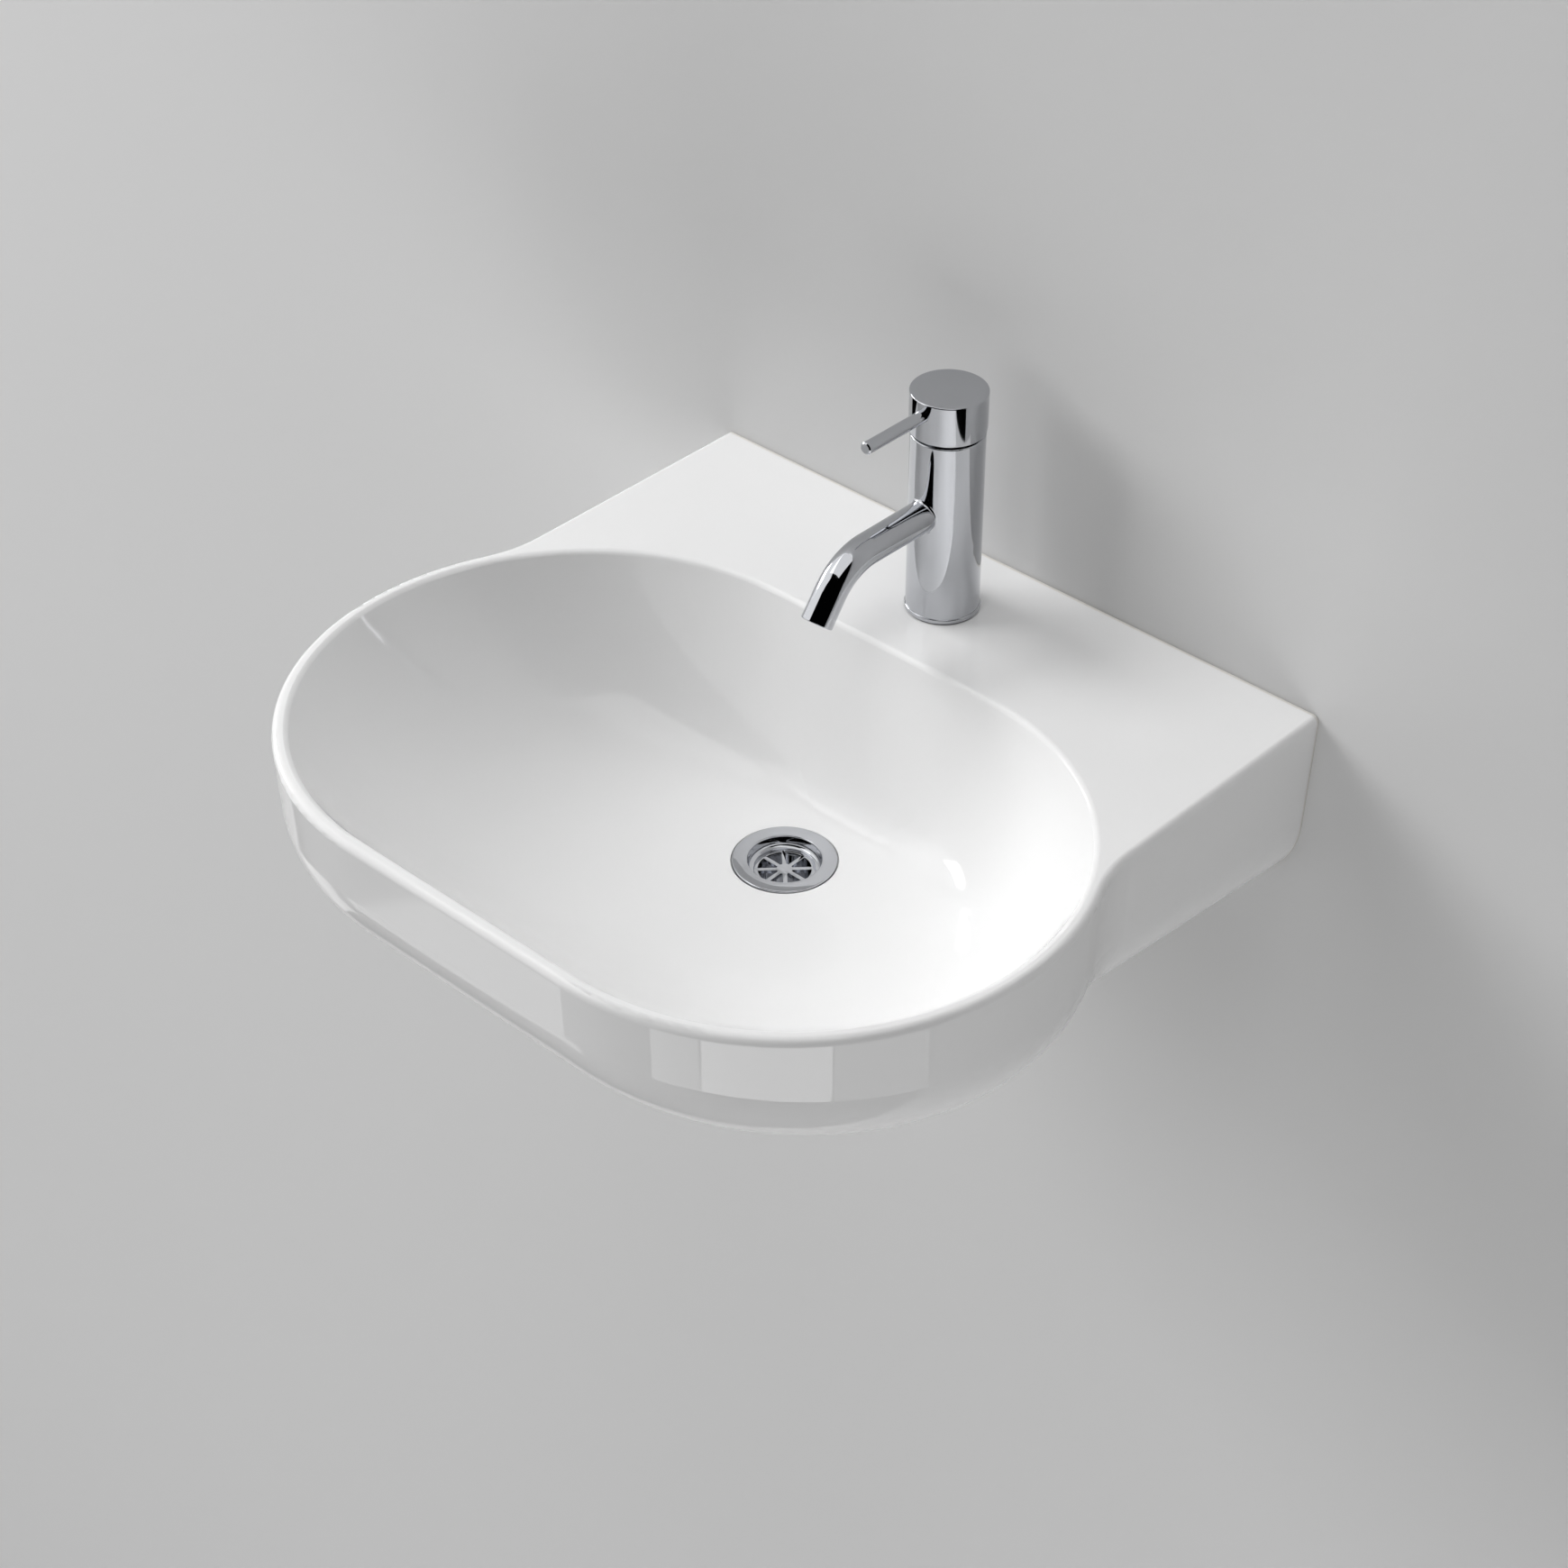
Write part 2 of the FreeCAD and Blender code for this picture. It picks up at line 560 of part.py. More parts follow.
def make_waste_grate():
    """Disc with a ring of openings between radial spokes."""
    seat = WASTE_TOP - GRATE_DEPTH - GRATE_THICKNESS
    grate = rod(GRATE_RADIUS - SEAT_GAP, GRATE_THICKNESS, on_waste(0, 0, seat))
    under = on_waste(0, 0, seat - OVERRUN)
    through = GRATE_THICKNESS + 2 * OVERRUN
    opening = ring(GRATE_OPEN_RADIUS, GRATE_HUB_RADIUS, through, under)
    for spoke in range(GRATE_SPOKES // 2):
        bar = block(2 * GRATE_RADIUS, GRATE_SPOKE_WIDTH, through,
                    FreeCAD.Vector(-GRATE_RADIUS, -GRATE_SPOKE_WIDTH / 2, under.z))
        bar.rotate(FreeCAD.Vector(), UP, 360 * spoke / GRATE_SPOKES)
        bar.translate(on_waste(0, 0, 0))
        opening = opening.cut(bar)
    return grate.cut(opening)


def make_waste_clamp():
    """Seal under the flange, and the seal, slip washer and backnut under the china."""
    inner = TAIL_RADIUS + THREAD_GAP
    save("waste_upper_seal", ring(FLANGE_RADIUS - UPPER_SEAL_INSET, NECK_RADIUS + SLIP_GAP,
                                  UPPER_SEAL_THICKNESS, on_waste(0, 0, WASTE_SEAT)))
    seal_bottom = WASTE_UNDERSIDE - LOWER_SEAL_THICKNESS
    washer_bottom = seal_bottom - SLIP_WASHER_THICKNESS
    outer = inner + LOWER_SEAL_WIDTH
    save("waste_lower_seal", ring(outer, inner, LOWER_SEAL_THICKNESS, on_waste(0, 0, seal_bottom)))
    save("waste_slip_washer", ring(outer, inner, SLIP_WASHER_THICKNESS, on_waste(0, 0, washer_bottom)))
    save("waste_backnut", hex_nut(BACKNUT_FLATS, inner, BACKNUT_THICKNESS,
                                  on_waste(0, 0, washer_bottom - BACKNUT_THICKNESS)))


def spout_tip_frame():
    """End of the spout's bend and the direction of its last straight run."""
    angle = math.radians(SPOUT_BEND_DEG)
    end = on_tap(0, -SPOUT_RUN - SPOUT_BEND_RADIUS * math.sin(angle),
                 SPOUT_HEIGHT - SPOUT_BEND_RADIUS * (1 - math.cos(angle)))
    return end, FreeCAD.Vector(0, -math.cos(angle), -math.sin(angle))


def spout_tube(radius, back, beyond):
    """Round tube along the spout, from a place behind the axis to a length past its tip."""
    start = on_tap(0, back, SPOUT_HEIGHT)
    bend = on_tap(0, -SPOUT_RUN, SPOUT_HEIGHT)
    centre = bend - UP * SPOUT_BEND_RADIUS
    end, along = spout_tip_frame()
    run = rod(radius, back + SPOUT_RUN, start, TO_FRONT)
    circle = Part.Wire(Part.Circle(bend, TO_FRONT, radius).toShape())
    curve = Part.Face(circle).revolve(centre, ACROSS, SPOUT_BEND_DEG)
    drop = rod(radius, SPOUT_DROP + beyond, end, along)
    return run.fuse([curve, drop]).removeSplitter()


def make_mixer_body():
    """Brass body and bent spout in one piece, with its waterways and the cartridge's chamber."""
    body = rod(BODY_RADIUS, BODY_TOP - BODY_FOOT, on_tap(0, 0, BODY_FOOT))
    body = round_circles(body, BODY_ROUND, BODY_RADIUS, RIM_HEIGHT + BODY_TOP)
    body = body.fuse(spout_tube(SPOUT_RADIUS, 0, 0)).removeSplitter()

    def at_joint(point):
        from_axis = math.hypot(point.x, point.y + TAP_SETBACK)
        from_spout = math.hypot(point.x, point.z - RIM_HEIGHT - SPOUT_HEIGHT)
        return abs(from_axis - BODY_RADIUS) < TOUCH and abs(from_spout - SPOUT_RADIUS) < TOUCH

    body = body.makeFillet(SPOUT_ROUND, edges_where(body, at_joint))
    end, along = spout_tip_frame()
    tip = end + along * SPOUT_DROP

    def at_lip(edge):
        return isinstance(edge.Curve, Part.Circle) and (edge.Curve.Center - tip).Length < TOUCH

    body = body.makeFillet(SPOUT_LIP_ROUND, [edge for edge in body.Edges if at_lip(edge)])
    nut_room = BODY_TOP - HOUSING_TOP + LID_THICKNESS
    cuts = [
        rod(CARTRIDGE_RADIUS + SEAT_GAP, BODY_TOP - SEAT_HEIGHT + OVERRUN, on_tap(0, 0, SEAT_HEIGHT)),
        rod(NUT_RADIUS + THREAD_GAP, nut_room + OVERRUN, on_tap(0, 0, BODY_TOP - nut_room)),
        rod(BASE_CAVITY_RADIUS, BASE_CAVITY_TOP - BODY_FOOT + OVERRUN, on_tap(0, 0, BODY_FOOT - OVERRUN)),
        rod(OUTLET_RADIUS, SEAT_HEIGHT - SPOUT_HEIGHT + OVERRUN, on_tap(0, OUTLET_OFFSET, SPOUT_HEIGHT)),
        rod(OUTLET_RADIUS, OUTLET_OFFSET + BODY_RADIUS, on_tap(0, OUTLET_OFFSET, SPOUT_HEIGHT), TO_FRONT),
        spout_tube(SPOUT_BORE_RADIUS, -BODY_RADIUS, OVERRUN),
        rod(AERATOR_RADIUS + SEAT_GAP, AERATOR_ROOM + OVERRUN, tip - along * AERATOR_ROOM, along),
        rod(CLAMP_STUD_RADIUS + THREAD_GAP, CLAMP_STUD_HOLD + OVERRUN,
            on_tap(0, CLAMP_STUD_OFFSET, BASE_CAVITY_TOP - OVERRUN)),
    ]
    for x in INLET_PLACES:
        cuts.append(rod(INLET_THREAD_RADIUS, INLET_THREAD_LENGTH + OVERRUN,
                        on_tap(x, -INLET_FORWARD, BASE_CAVITY_TOP - OVERRUN)))
        cuts.append(rod(INLET_RADIUS, SEAT_HEIGHT - BASE_CAVITY_TOP + OVERRUN,
                        on_tap(x, -INLET_FORWARD, BASE_CAVITY_TOP)))
    return body.cut(cuts)


def make_foot():
    """Foot ring and the rubber ring under it."""
    save("base_seal", ring(BASE_SEAL_RADIUS, BASE_CAVITY_RADIUS, BASE_SEAL_THICKNESS, on_tap(0, 0, 0)))
    foot = ring(BASE_RING_RADIUS, BASE_CAVITY_RADIUS, BASE_RING_THICKNESS, on_tap(0, 0, BASE_SEAL_THICKNESS))
    save("base_ring", round_circles(foot, BASE_RING_ROUND, BASE_RING_RADIUS, RIM_HEIGHT + BODY_FOOT))


def horseshoe(thickness, bottom):
    """Clamping washer, open to the front for the supplies and drilled for the stud."""
    disc = rod(HORSESHOE_RADIUS, thickness, on_tap(0, 0, bottom))
    slot = block(2 * HORSESHOE_SLOT_HALF, HORSESHOE_RADIUS + HORSESHOE_SLOT_END + OVERRUN,
                 thickness + 2 * OVERRUN,
                 on_tap(-HORSESHOE_SLOT_HALF, -HORSESHOE_RADIUS - OVERRUN, bottom - OVERRUN))
    hole = rod(CLAMP_STUD_RADIUS + SLIP_GAP, thickness + 2 * OVERRUN,
               on_tap(0, CLAMP_STUD_OFFSET, bottom - OVERRUN))
    return disc.cut([slot, hole])


def make_clamp():
    """Stud, horseshoe seal and plate, and nut that hold the mixer to the shelf."""
    seal_bottom = -DECK_THICKNESS - HORSESHOE_SEAL_THICKNESS
    plate_bottom = seal_bottom - HORSESHOE_PLATE_THICKNESS
    nut_bottom = plate_bottom - CLAMP_NUT_THICKNESS
    stud_length = BASE_CAVITY_TOP + CLAMP_STUD_HOLD + CLAMP_STUD_TAIL
    save("mounting_stud", rod(CLAMP_STUD_RADIUS, stud_length, on_tap(0, CLAMP_STUD_OFFSET, -CLAMP_STUD_TAIL)))
    save("horseshoe_seal", horseshoe(HORSESHOE_SEAL_THICKNESS, seal_bottom))
    save("horseshoe_plate", horseshoe(HORSESHOE_PLATE_THICKNESS, plate_bottom))
    save("mounting_nut", hex_nut(CLAMP_NUT_FLATS, CLAMP_STUD_RADIUS + THREAD_GAP, CLAMP_NUT_THICKNESS,
                                 on_tap(0, CLAMP_STUD_OFFSET, nut_bottom)))


def make_aerator():
    """Housing, drilled insert and seal, set into the spout's mouth along its last run."""
    end, along = spout_tip_frame()
    mouth = end + along * (SPOUT_DROP - AERATOR_RECESS)
    top = mouth - along * AERATOR_LENGTH
    save("aerator_housing", ring(AERATOR_RADIUS, AERATOR_INNER, AERATOR_LENGTH, top, along))
    save("aerator_seal", ring(AERATOR_RADIUS, AERATOR_INNER, AERATOR_SEAL_THICKNESS,
                              top - along * AERATOR_SEAL_THICKNESS, along))
    insert = rod(AERATOR_INNER - SEAT_GAP, AERATOR_LENGTH - AERATOR_RECESS, FreeCAD.Vector())
    places = [FreeCAD.Vector()]
    for row in range(1, AERATOR_ROWS + 1):
        count = AERATOR_RING_HOLES * row
        for turn in range(count):
            places.append(polar(FreeCAD.Vector(), AERATOR_HOLE_PITCH * row, 2 * math.pi * turn / count))
    holes = [rod(AERATOR_HOLE_RADIUS, AERATOR_LENGTH + 2 * OVERRUN, place - UP * OVERRUN) for place in places]
    insert = insert.cut(holes)
    insert.Placement = FreeCAD.Placement(top, FreeCAD.Rotation(UP, along))
    save("aerator_insert", insert)


def ported(disc, bottom, thickness, radius):
    """Drills the two inlets and the outlet through a disc of the cartridge."""
    through = thickness + 2 * OVERRUN
    holes = [rod(radius, through, on_tap(x, -INLET_FORWARD, bottom - OVERRUN)) for x in INLET_PLACES]
    holes.append(rod(radius, through, on_tap(0, OUTLET_OFFSET, bottom - OVERRUN)))
    return disc.cut(holes)


def make_cartridge_fixed():
    """Base with its port seals, fixed disc, housing, retaining nut and shroud."""
    base = rod(CARTRIDGE_RADIUS, BASE_THICKNESS, on_tap(0, 0, SEAT_HEIGHT))
    seal_outer = INLET_RADIUS + PORT_SEAL_WIDTH
    pockets = rod(CARTRIDGE_RADIUS, PORT_SEAL_THICKNESS, on_tap(0, 0, SEAT_HEIGHT))
    kept = ported(pockets, SEAT_HEIGHT, PORT_SEAL_THICKNESS, seal_outer + SEAT_GAP)
    base = base.cut(pockets).fuse(kept).removeSplitter()
    save("cartridge_base", ported(base, SEAT_HEIGHT, BASE_THICKNESS, INLET_RADIUS))
    ports = [(x, -INLET_FORWARD) for x in INLET_PLACES] + [(0, OUTLET_OFFSET)]
    save("port_seals", *[ring(seal_outer, INLET_RADIUS, PORT_SEAL_THICKNESS, on_tap(x, y, SEAT_HEIGHT))
                         for x, y in ports])
    disc = rod(FIXED_DISC_RADIUS, DISC_THICKNESS, on_tap(0, 0, BASE_TOP))
    save("fixed_disc", ported(disc, BASE_TOP, DISC_THICKNESS, INLET_RADIUS))
    housing = ring(CARTRIDGE_RADIUS, CARTRIDGE_INNER, HOUSING_TOP - BASE_TOP, on_tap(0, 0, BASE_TOP))
    lid = ring(CARTRIDGE_RADIUS, NECK_OUTER_RADIUS + RUNNING_GAP, LID_THICKNESS,
               on_tap(0, 0, HOUSING_TOP - LID_THICKNESS))
    save("cartridge_housing", housing.fuse(lid).removeSplitter())
    nut = ring(NUT_RADIUS, NUT_BORE_RADIUS, NUT_THICKNESS, on_tap(0, 0, HOUSING_TOP))
    save("cartridge_nut", nut.cut(prism(NUT_KEY_FLATS, NUT_KEY_DEPTH + OVERRUN,
                                        on_tap(0, 0, NUT_TOP - NUT_KEY_DEPTH))))
    save("shroud_ring", ring(NUT_RADIUS, NUT_BORE_RADIUS, SHROUD_THICKNESS, on_tap(0, 0, NUT_TOP)))


def make_sliding_disc():
    """Moving disc with its mixing hollow, and the carrier that the spindle's ball pushes."""
    disc = rod(MOVING_DISC_RADIUS, DISC_THICKNESS, on_tap(0, MOVING_DISC_BACK, FIXED_TOP))
    hollow = block(2 * MIX_HALF_WIDTH, MIX_FAR - MIX_NEAR, MIX_DEPTH + OVERRUN,
                   on_tap(-MIX_HALF_WIDTH, MIX_NEAR, FIXED_TOP - OVERRUN))
    save("moving_disc", disc.cut(hollow))
    carrier = rod(MOVING_DISC_RADIUS, CARRIER_THICKNESS, on_tap(0, MOVING_DISC_BACK, MOVING_TOP))
    guide = block(2 * CARRIER_HALF_WIDTH, 2 * CARTRIDGE_RADIUS, CARRIER_THICKNESS,
                  on_tap(-CARRIER_HALF_WIDTH, -CARTRIDGE_RADIUS, MOVING_TOP))
    pocket = rod(BALL_RADIUS + BALL_GAP, BALL_DEPTH + OVERRUN, on_tap(0, 0, CARRIER_TOP - BALL_DEPTH))
    save("disc_carrier", carrier.common(guide).cut(pocket))


def make_rotor():
    """Rotor with its guide tongues and slotted neck, and the pivot pin across the neck."""
    rotor = rod(CARTRIDGE_INNER - SLIP_GAP, ROTOR_FLANGE_THICKNESS, on_tap(0, 0, ROTOR_BOTTOM))
    neck = rod(NECK_OUTER_RADIUS, NECK_TOP - ROTOR_BOTTOM, on_tap(0, 0, ROTOR_BOTTOM))
    tongues = []
    for side in (-1, 1):
        middle = side * (CARRIER_HALF_WIDTH + SLIP_GAP + TONGUE_WIDTH / 2)
        tongues.append(block(TONGUE_WIDTH, 2 * TONGUE_HALF_LENGTH, TONGUE_LENGTH + SLIP_GAP,
                             on_tap(middle - TONGUE_WIDTH / 2, -TONGUE_HALF_LENGTH,
                                    ROTOR_BOTTOM - TONGUE_LENGTH)))
    slot_half = SPINDLE_SIDE / 2 + SLIP_GAP
    slot = block(2 * slot_half, 2 * NECK_SLOT_HALF_LENGTH, NECK_TOP - ROTOR_BOTTOM + 2 * OVERRUN,
                 on_tap(-slot_half, -NECK_SLOT_HALF_LENGTH, ROTOR_BOTTOM - OVERRUN))
    cross = rod(PIVOT_RADIUS, 2 * BODY_RADIUS, on_tap(-BODY_RADIUS, 0, PIVOT_HEIGHT), ACROSS)
    save("cartridge_rotor", rotor.fuse([neck] + tongues).removeSplitter().cut([slot, cross]))
    half = NECK_OUTER_RADIUS - PIVOT_END_GAP
    save("pivot_pin", rod(PIVOT_RADIUS, 2 * half, on_tap(-half, 0, PIVOT_HEIGHT), ACROSS))


def make_spindle():
    """Square stem on the pivot, with an arm and a ball below it."""
    bottom = PIVOT_HEIGHT - SPINDLE_BELOW_PIVOT
    stem = block(SPINDLE_SIDE, SPINDLE_SIDE, SPINDLE_TOP - bottom,
                 on_tap(-SPINDLE_SIDE / 2, -SPINDLE_SIDE / 2, bottom))
    arm = rod(ARM_RADIUS, bottom - BALL_HEIGHT + OVERRUN, on_tap(0, 0, BALL_HEIGHT))
    ball = Part.makeSphere(BALL_RADIUS, on_tap(0, 0, BALL_HEIGHT))
    bore = rod(PIVOT_RADIUS + RUNNING_GAP, 2 * SPINDLE_SIDE, on_tap(-SPINDLE_SIDE, 0, PIVOT_HEIGHT), ACROSS)
    return stem.fuse([arm, ball]).removeSplitter().cut(bore)


def make_lever():
    """Cap with its boss and rear relief, pin lever and grub screw."""
    cap = rod(CAP_RADIUS, CAP_TOP - CAP_BOTTOM, on_tap(0, 0, CAP_BOTTOM))
    cap = round_circles(cap, CAP_ROUND, CAP_RADIUS, RIM_HEIGHT + CAP_TOP)
    cap = round_circles(cap, CAP_ROUND, CAP_RADIUS, RIM_HEIGHT + CAP_BOTTOM)
    room = rod(CAP_RADIUS - CAP_WALL, CAP_CEILING - CAP_BOTTOM + OVERRUN, on_tap(0, 0, CAP_BOTTOM - OVERRUN))
    boss = rod(CAP_BOSS_RADIUS, CAP_TOP - CAP_ROOF / 2 - CAP_BOSS_BOTTOM, on_tap(0, 0, CAP_BOSS_BOTTOM))
    socket_side = SPINDLE_SIDE + 2 * SEAT_GAP
    socket = block(socket_side, socket_side, SPINDLE_TOP + SEAT_GAP - CAP_BOSS_BOTTOM + OVERRUN,
                   on_tap(-socket_side / 2, -socket_side / 2, CAP_BOSS_BOTTOM - OVERRUN))
    pin_seat = CAP_BOSS_RADIUS - SLIP_GAP
    thread_end = pin_seat - PIN_THREAD_LENGTH
    pin_hole = rod(PIN_RADIUS + SEAT_GAP, PIN_TIP, on_tap(0, -pin_seat, PIN_HEIGHT), TO_FRONT)
    thread_hole = rod(PIN_THREAD_RADIUS + SEAT_GAP, pin_seat, on_tap(0, -thread_end, PIN_HEIGHT), TO_FRONT)
    grub_hole = rod(GRUB_RADIUS + SEAT_GAP, PIN_TIP, on_tap(0, 0, GRUB_HEIGHT), TO_WALL)
    relief = block(4 * CAP_RADIUS, 4 * CAP_RADIUS, BODY_TOP,
                   on_tap(-2 * CAP_RADIUS, -2 * CAP_RADIUS, CAP_CLEARANCE))
    relief.rotate(on_tap(0, 0, PIVOT_HEIGHT), ACROSS, LEVER_LIFT_DEG)
    cap = cap.cut(room).fuse(boss).removeSplitter()
    save("lever_cap", cap.cut([socket, pin_hole, thread_hole, grub_hole, relief]))
    pin = rod(PIN_RADIUS, PIN_TIP - pin_seat, on_tap(0, -pin_seat, PIN_HEIGHT), TO_FRONT)

    def at_tip(edge):
        from_tip = edge.CenterOfMass.y + TAP_SETBACK + PIN_TIP
        return isinstance(edge.Curve, Part.Circle) and abs(from_tip) < TOUCH

    pin = pin.makeChamfer(PIN_CHAMFER, [edge for edge in pin.Edges if at_tip(edge)])
    thread = rod(PIN_THREAD_RADIUS, PIN_THREAD_LENGTH, on_tap(0, -pin_seat, PIN_HEIGHT), TO_WALL)
    save("pin_lever", pin.fuse(thread).removeSplitter())
    grub_start = SPINDLE_SIDE / 2
    grub = rod(GRUB_RADIUS, GRUB_LENGTH, on_tap(0, grub_start, GRUB_HEIGHT), TO_WALL)
    key = prism(GRUB_SOCKET_FLATS, GRUB_SOCKET_DEPTH + OVERRUN,
                on_tap(0, grub_start + GRUB_LENGTH - GRUB_SOCKET_DEPTH, GRUB_HEIGHT), TO_WALL)
    save("grub_screw", grub.cut(key))


def save(name, *solids):
    """Writes one node, a single solid or a group of like solids."""
    shape = solids[0] if len(solids) == 1 else Part.makeCompound(list(solids))
    sound = all(solid.isValid() for solid in shape.Solids)
    print(name, len(shape.Solids), "solids", round(shape.Volume), "mm3", "sound" if sound else "faulty")
    shape.exportStep(f"parts/{name}.step")


os.makedirs("parts", exist_ok=True)
save("basin_body", make_basin_body())
make_wall_fixing()
save("waste_body", make_waste_body())
save("waste_grate", make_waste_grate())
make_waste_clamp()
save("mixer_body", make_mixer_body())
make_foot()
make_clamp()
make_aerator()
make_cartridge_fixed()
make_sliding_disc()
make_rotor()
save("spindle", make_spindle())
make_lever()
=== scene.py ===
import json
import logging
import math
from dataclasses import dataclass
from enum import Enum
from typing import Any

import bmesh
import bpy
from mathutils import Matrix, Vector


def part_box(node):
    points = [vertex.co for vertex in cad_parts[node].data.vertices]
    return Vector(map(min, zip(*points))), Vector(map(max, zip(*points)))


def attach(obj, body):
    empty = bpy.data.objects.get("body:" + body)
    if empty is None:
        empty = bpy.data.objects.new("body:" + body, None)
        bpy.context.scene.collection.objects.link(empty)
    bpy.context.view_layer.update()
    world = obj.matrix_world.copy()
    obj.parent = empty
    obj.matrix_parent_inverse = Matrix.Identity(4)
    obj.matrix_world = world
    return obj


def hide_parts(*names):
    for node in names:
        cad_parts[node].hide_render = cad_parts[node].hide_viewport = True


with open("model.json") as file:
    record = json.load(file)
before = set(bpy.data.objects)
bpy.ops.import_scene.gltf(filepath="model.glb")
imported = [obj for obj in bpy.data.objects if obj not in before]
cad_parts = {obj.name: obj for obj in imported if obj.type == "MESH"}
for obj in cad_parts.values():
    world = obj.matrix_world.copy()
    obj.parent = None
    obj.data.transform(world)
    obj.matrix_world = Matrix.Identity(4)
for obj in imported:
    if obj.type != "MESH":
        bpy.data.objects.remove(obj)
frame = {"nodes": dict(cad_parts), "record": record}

LOG = logging.getLogger("wall_hung_basin")
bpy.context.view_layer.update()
NEAR = 1e-6
TOUCHING = 1e-7


def shade(colour: tuple, share: float) -> tuple:
    """Gives a colour darkened to a share of itself."""
    return tuple(share * part for part in colour)


class Wire:
    """A shader socket that takes part in Python expressions on values."""

    def __init__(self, graph: "Graph", socket: bpy.types.NodeSocket) -> None:
        """Keeps the socket and the graph that it belongs to."""
        self.graph = graph
        self.socket = socket

    def join(self, operation: str, first: "Wire | float", second: "Wire | float") -> "Wire":
        """Adds one Math node.

        Args:
            operation: The Math node's operation.
            first: Its first value or wire.
            second: Its second value or wire.

        Returns:
            The wire that leaves the node.
        """
        return self.graph.wire("ShaderNodeMath", {"operation": operation}, {0: first, 1: second})

    def __add__(self, other: "Wire | float") -> "Wire":
        """Sum."""
        return self.join("ADD", self, other)

    __radd__ = __add__

    def __sub__(self, other: "Wire | float") -> "Wire":
        """Difference."""
        return self.join("SUBTRACT", self, other)

    def __rsub__(self, other: float) -> "Wire":
        """Difference from a number."""
        return self.join("SUBTRACT", other, self)

    def __mul__(self, other: "Wire | float") -> "Wire":
        """Product."""
        return self.join("MULTIPLY", self, other)

    __rmul__ = __mul__


class Graph:
    """The node tree of one material."""

    def __init__(self, name: str) -> None:
        """Starts a material with an empty tree.

        Args:
            name: The material's name.
        """
        self.material = bpy.data.materials.new(name)
        self.material.use_nodes = True
        self.tree = self.material.node_tree
        self.tree.nodes.clear()

    def node(self, kind: str, settings: dict[str, Any], inputs: dict[Any, Any]) -> bpy.types.Node:
        """Adds any node.

        Args:
            kind: The node's type name.
            settings: Its own settings, set before its sockets.
            inputs: Values or wires by socket name or number.

        Returns:
            The node.
        """
        made = self.tree.nodes.new(kind)
        for key, value in settings.items():
            setattr(made, key, value)
        for key, value in inputs.items():
            if isinstance(value, Wire):
                self.tree.links.new(value.socket, made.inputs[key])
            else:
                made.inputs[key].default_value = value
        return made

    def wire(self, kind: str, settings: dict[str, Any], inputs: dict[Any, Any], output: Any = 0) -> Wire:
        """Adds any node and takes one of its outputs.

        Args:
            kind: The node's type name.
            settings: Its own settings.
            inputs: Values or wires by socket name or number.
            output: The output's name or number.

        Returns:
            The chosen output.
        """
        return Wire(self, self.node(kind, settings, inputs).outputs[output])

    def place(self) -> Wire:
        """Gives the piece's own coordinates in metres."""
        return self.wire("ShaderNodeTexCoord", {}, {}, "Object")

    def noise(self, scale: float, detail: float) -> Wire:
        """Gives a soft noise from 0 to 1, at a number of waves to the metre."""
        inputs = {"Vector": self.place(), "Scale": scale, "Detail": detail}
        return self.wire("ShaderNodeTexNoise", {}, inputs, "Fac")

    def blend(self, share: Wire, first: "Wire | tuple", second: "Wire | tuple") -> Wire:
        """Mixes two colours.

        Args:
            share: How much of the second colour shows.
            first: The first colour, or a wire that carries it.
            second: The second colour, or a wire that carries it.

        Returns:
            The mixed colour.
        """
        # By number, because the Mix node has three sockets by the name of A, three of B and three of Result.
        ends = [colour if isinstance(colour, Wire) else (*colour, 1.0) for colour in (first, second)]
        return self.wire("ShaderNodeMix", {"data_type": "RGBA"}, {0: share, 6: ends[0], 7: ends[1]}, 2)

    def ramp(self, value: Wire, start: float, stop: float) -> Wire:
        """Climbs evenly from 0 to 1 while a value goes from a start to a stop."""
        inputs = {"Value": value, "From Min": start, "From Max": stop}
        return self.wire("ShaderNodeMapRange", {}, inputs, "Result")

    def along(self, axis: str) -> Wire:
        """Gives the piece's own coordinate along X, Y or Z, in metres."""
        return self.wire("ShaderNodeSeparateXYZ", {}, {0: self.place()}, axis)

    def relief(self, height: Wire, depth: float) -> Wire:
        """Turns a height from 0 to 1 into a bumped normal, at a depth in metres."""
        return self.wire("ShaderNodeBump", {}, {"Height": height, "Distance": depth, "Strength": 1.0})

    def finish(self, inputs: dict[str, Any]) -> bpy.types.Material:
        """Closes the tree with the surface shader.

        Args:
            inputs: The shader's values and wires.

        Returns:
            The finished material.
        """
        surface = self.wire("ShaderNodeBsdfPrincipled", {}, inputs)
        self.node("ShaderNodeOutputMaterial", {}, {"Surface": surface})
        return self.material


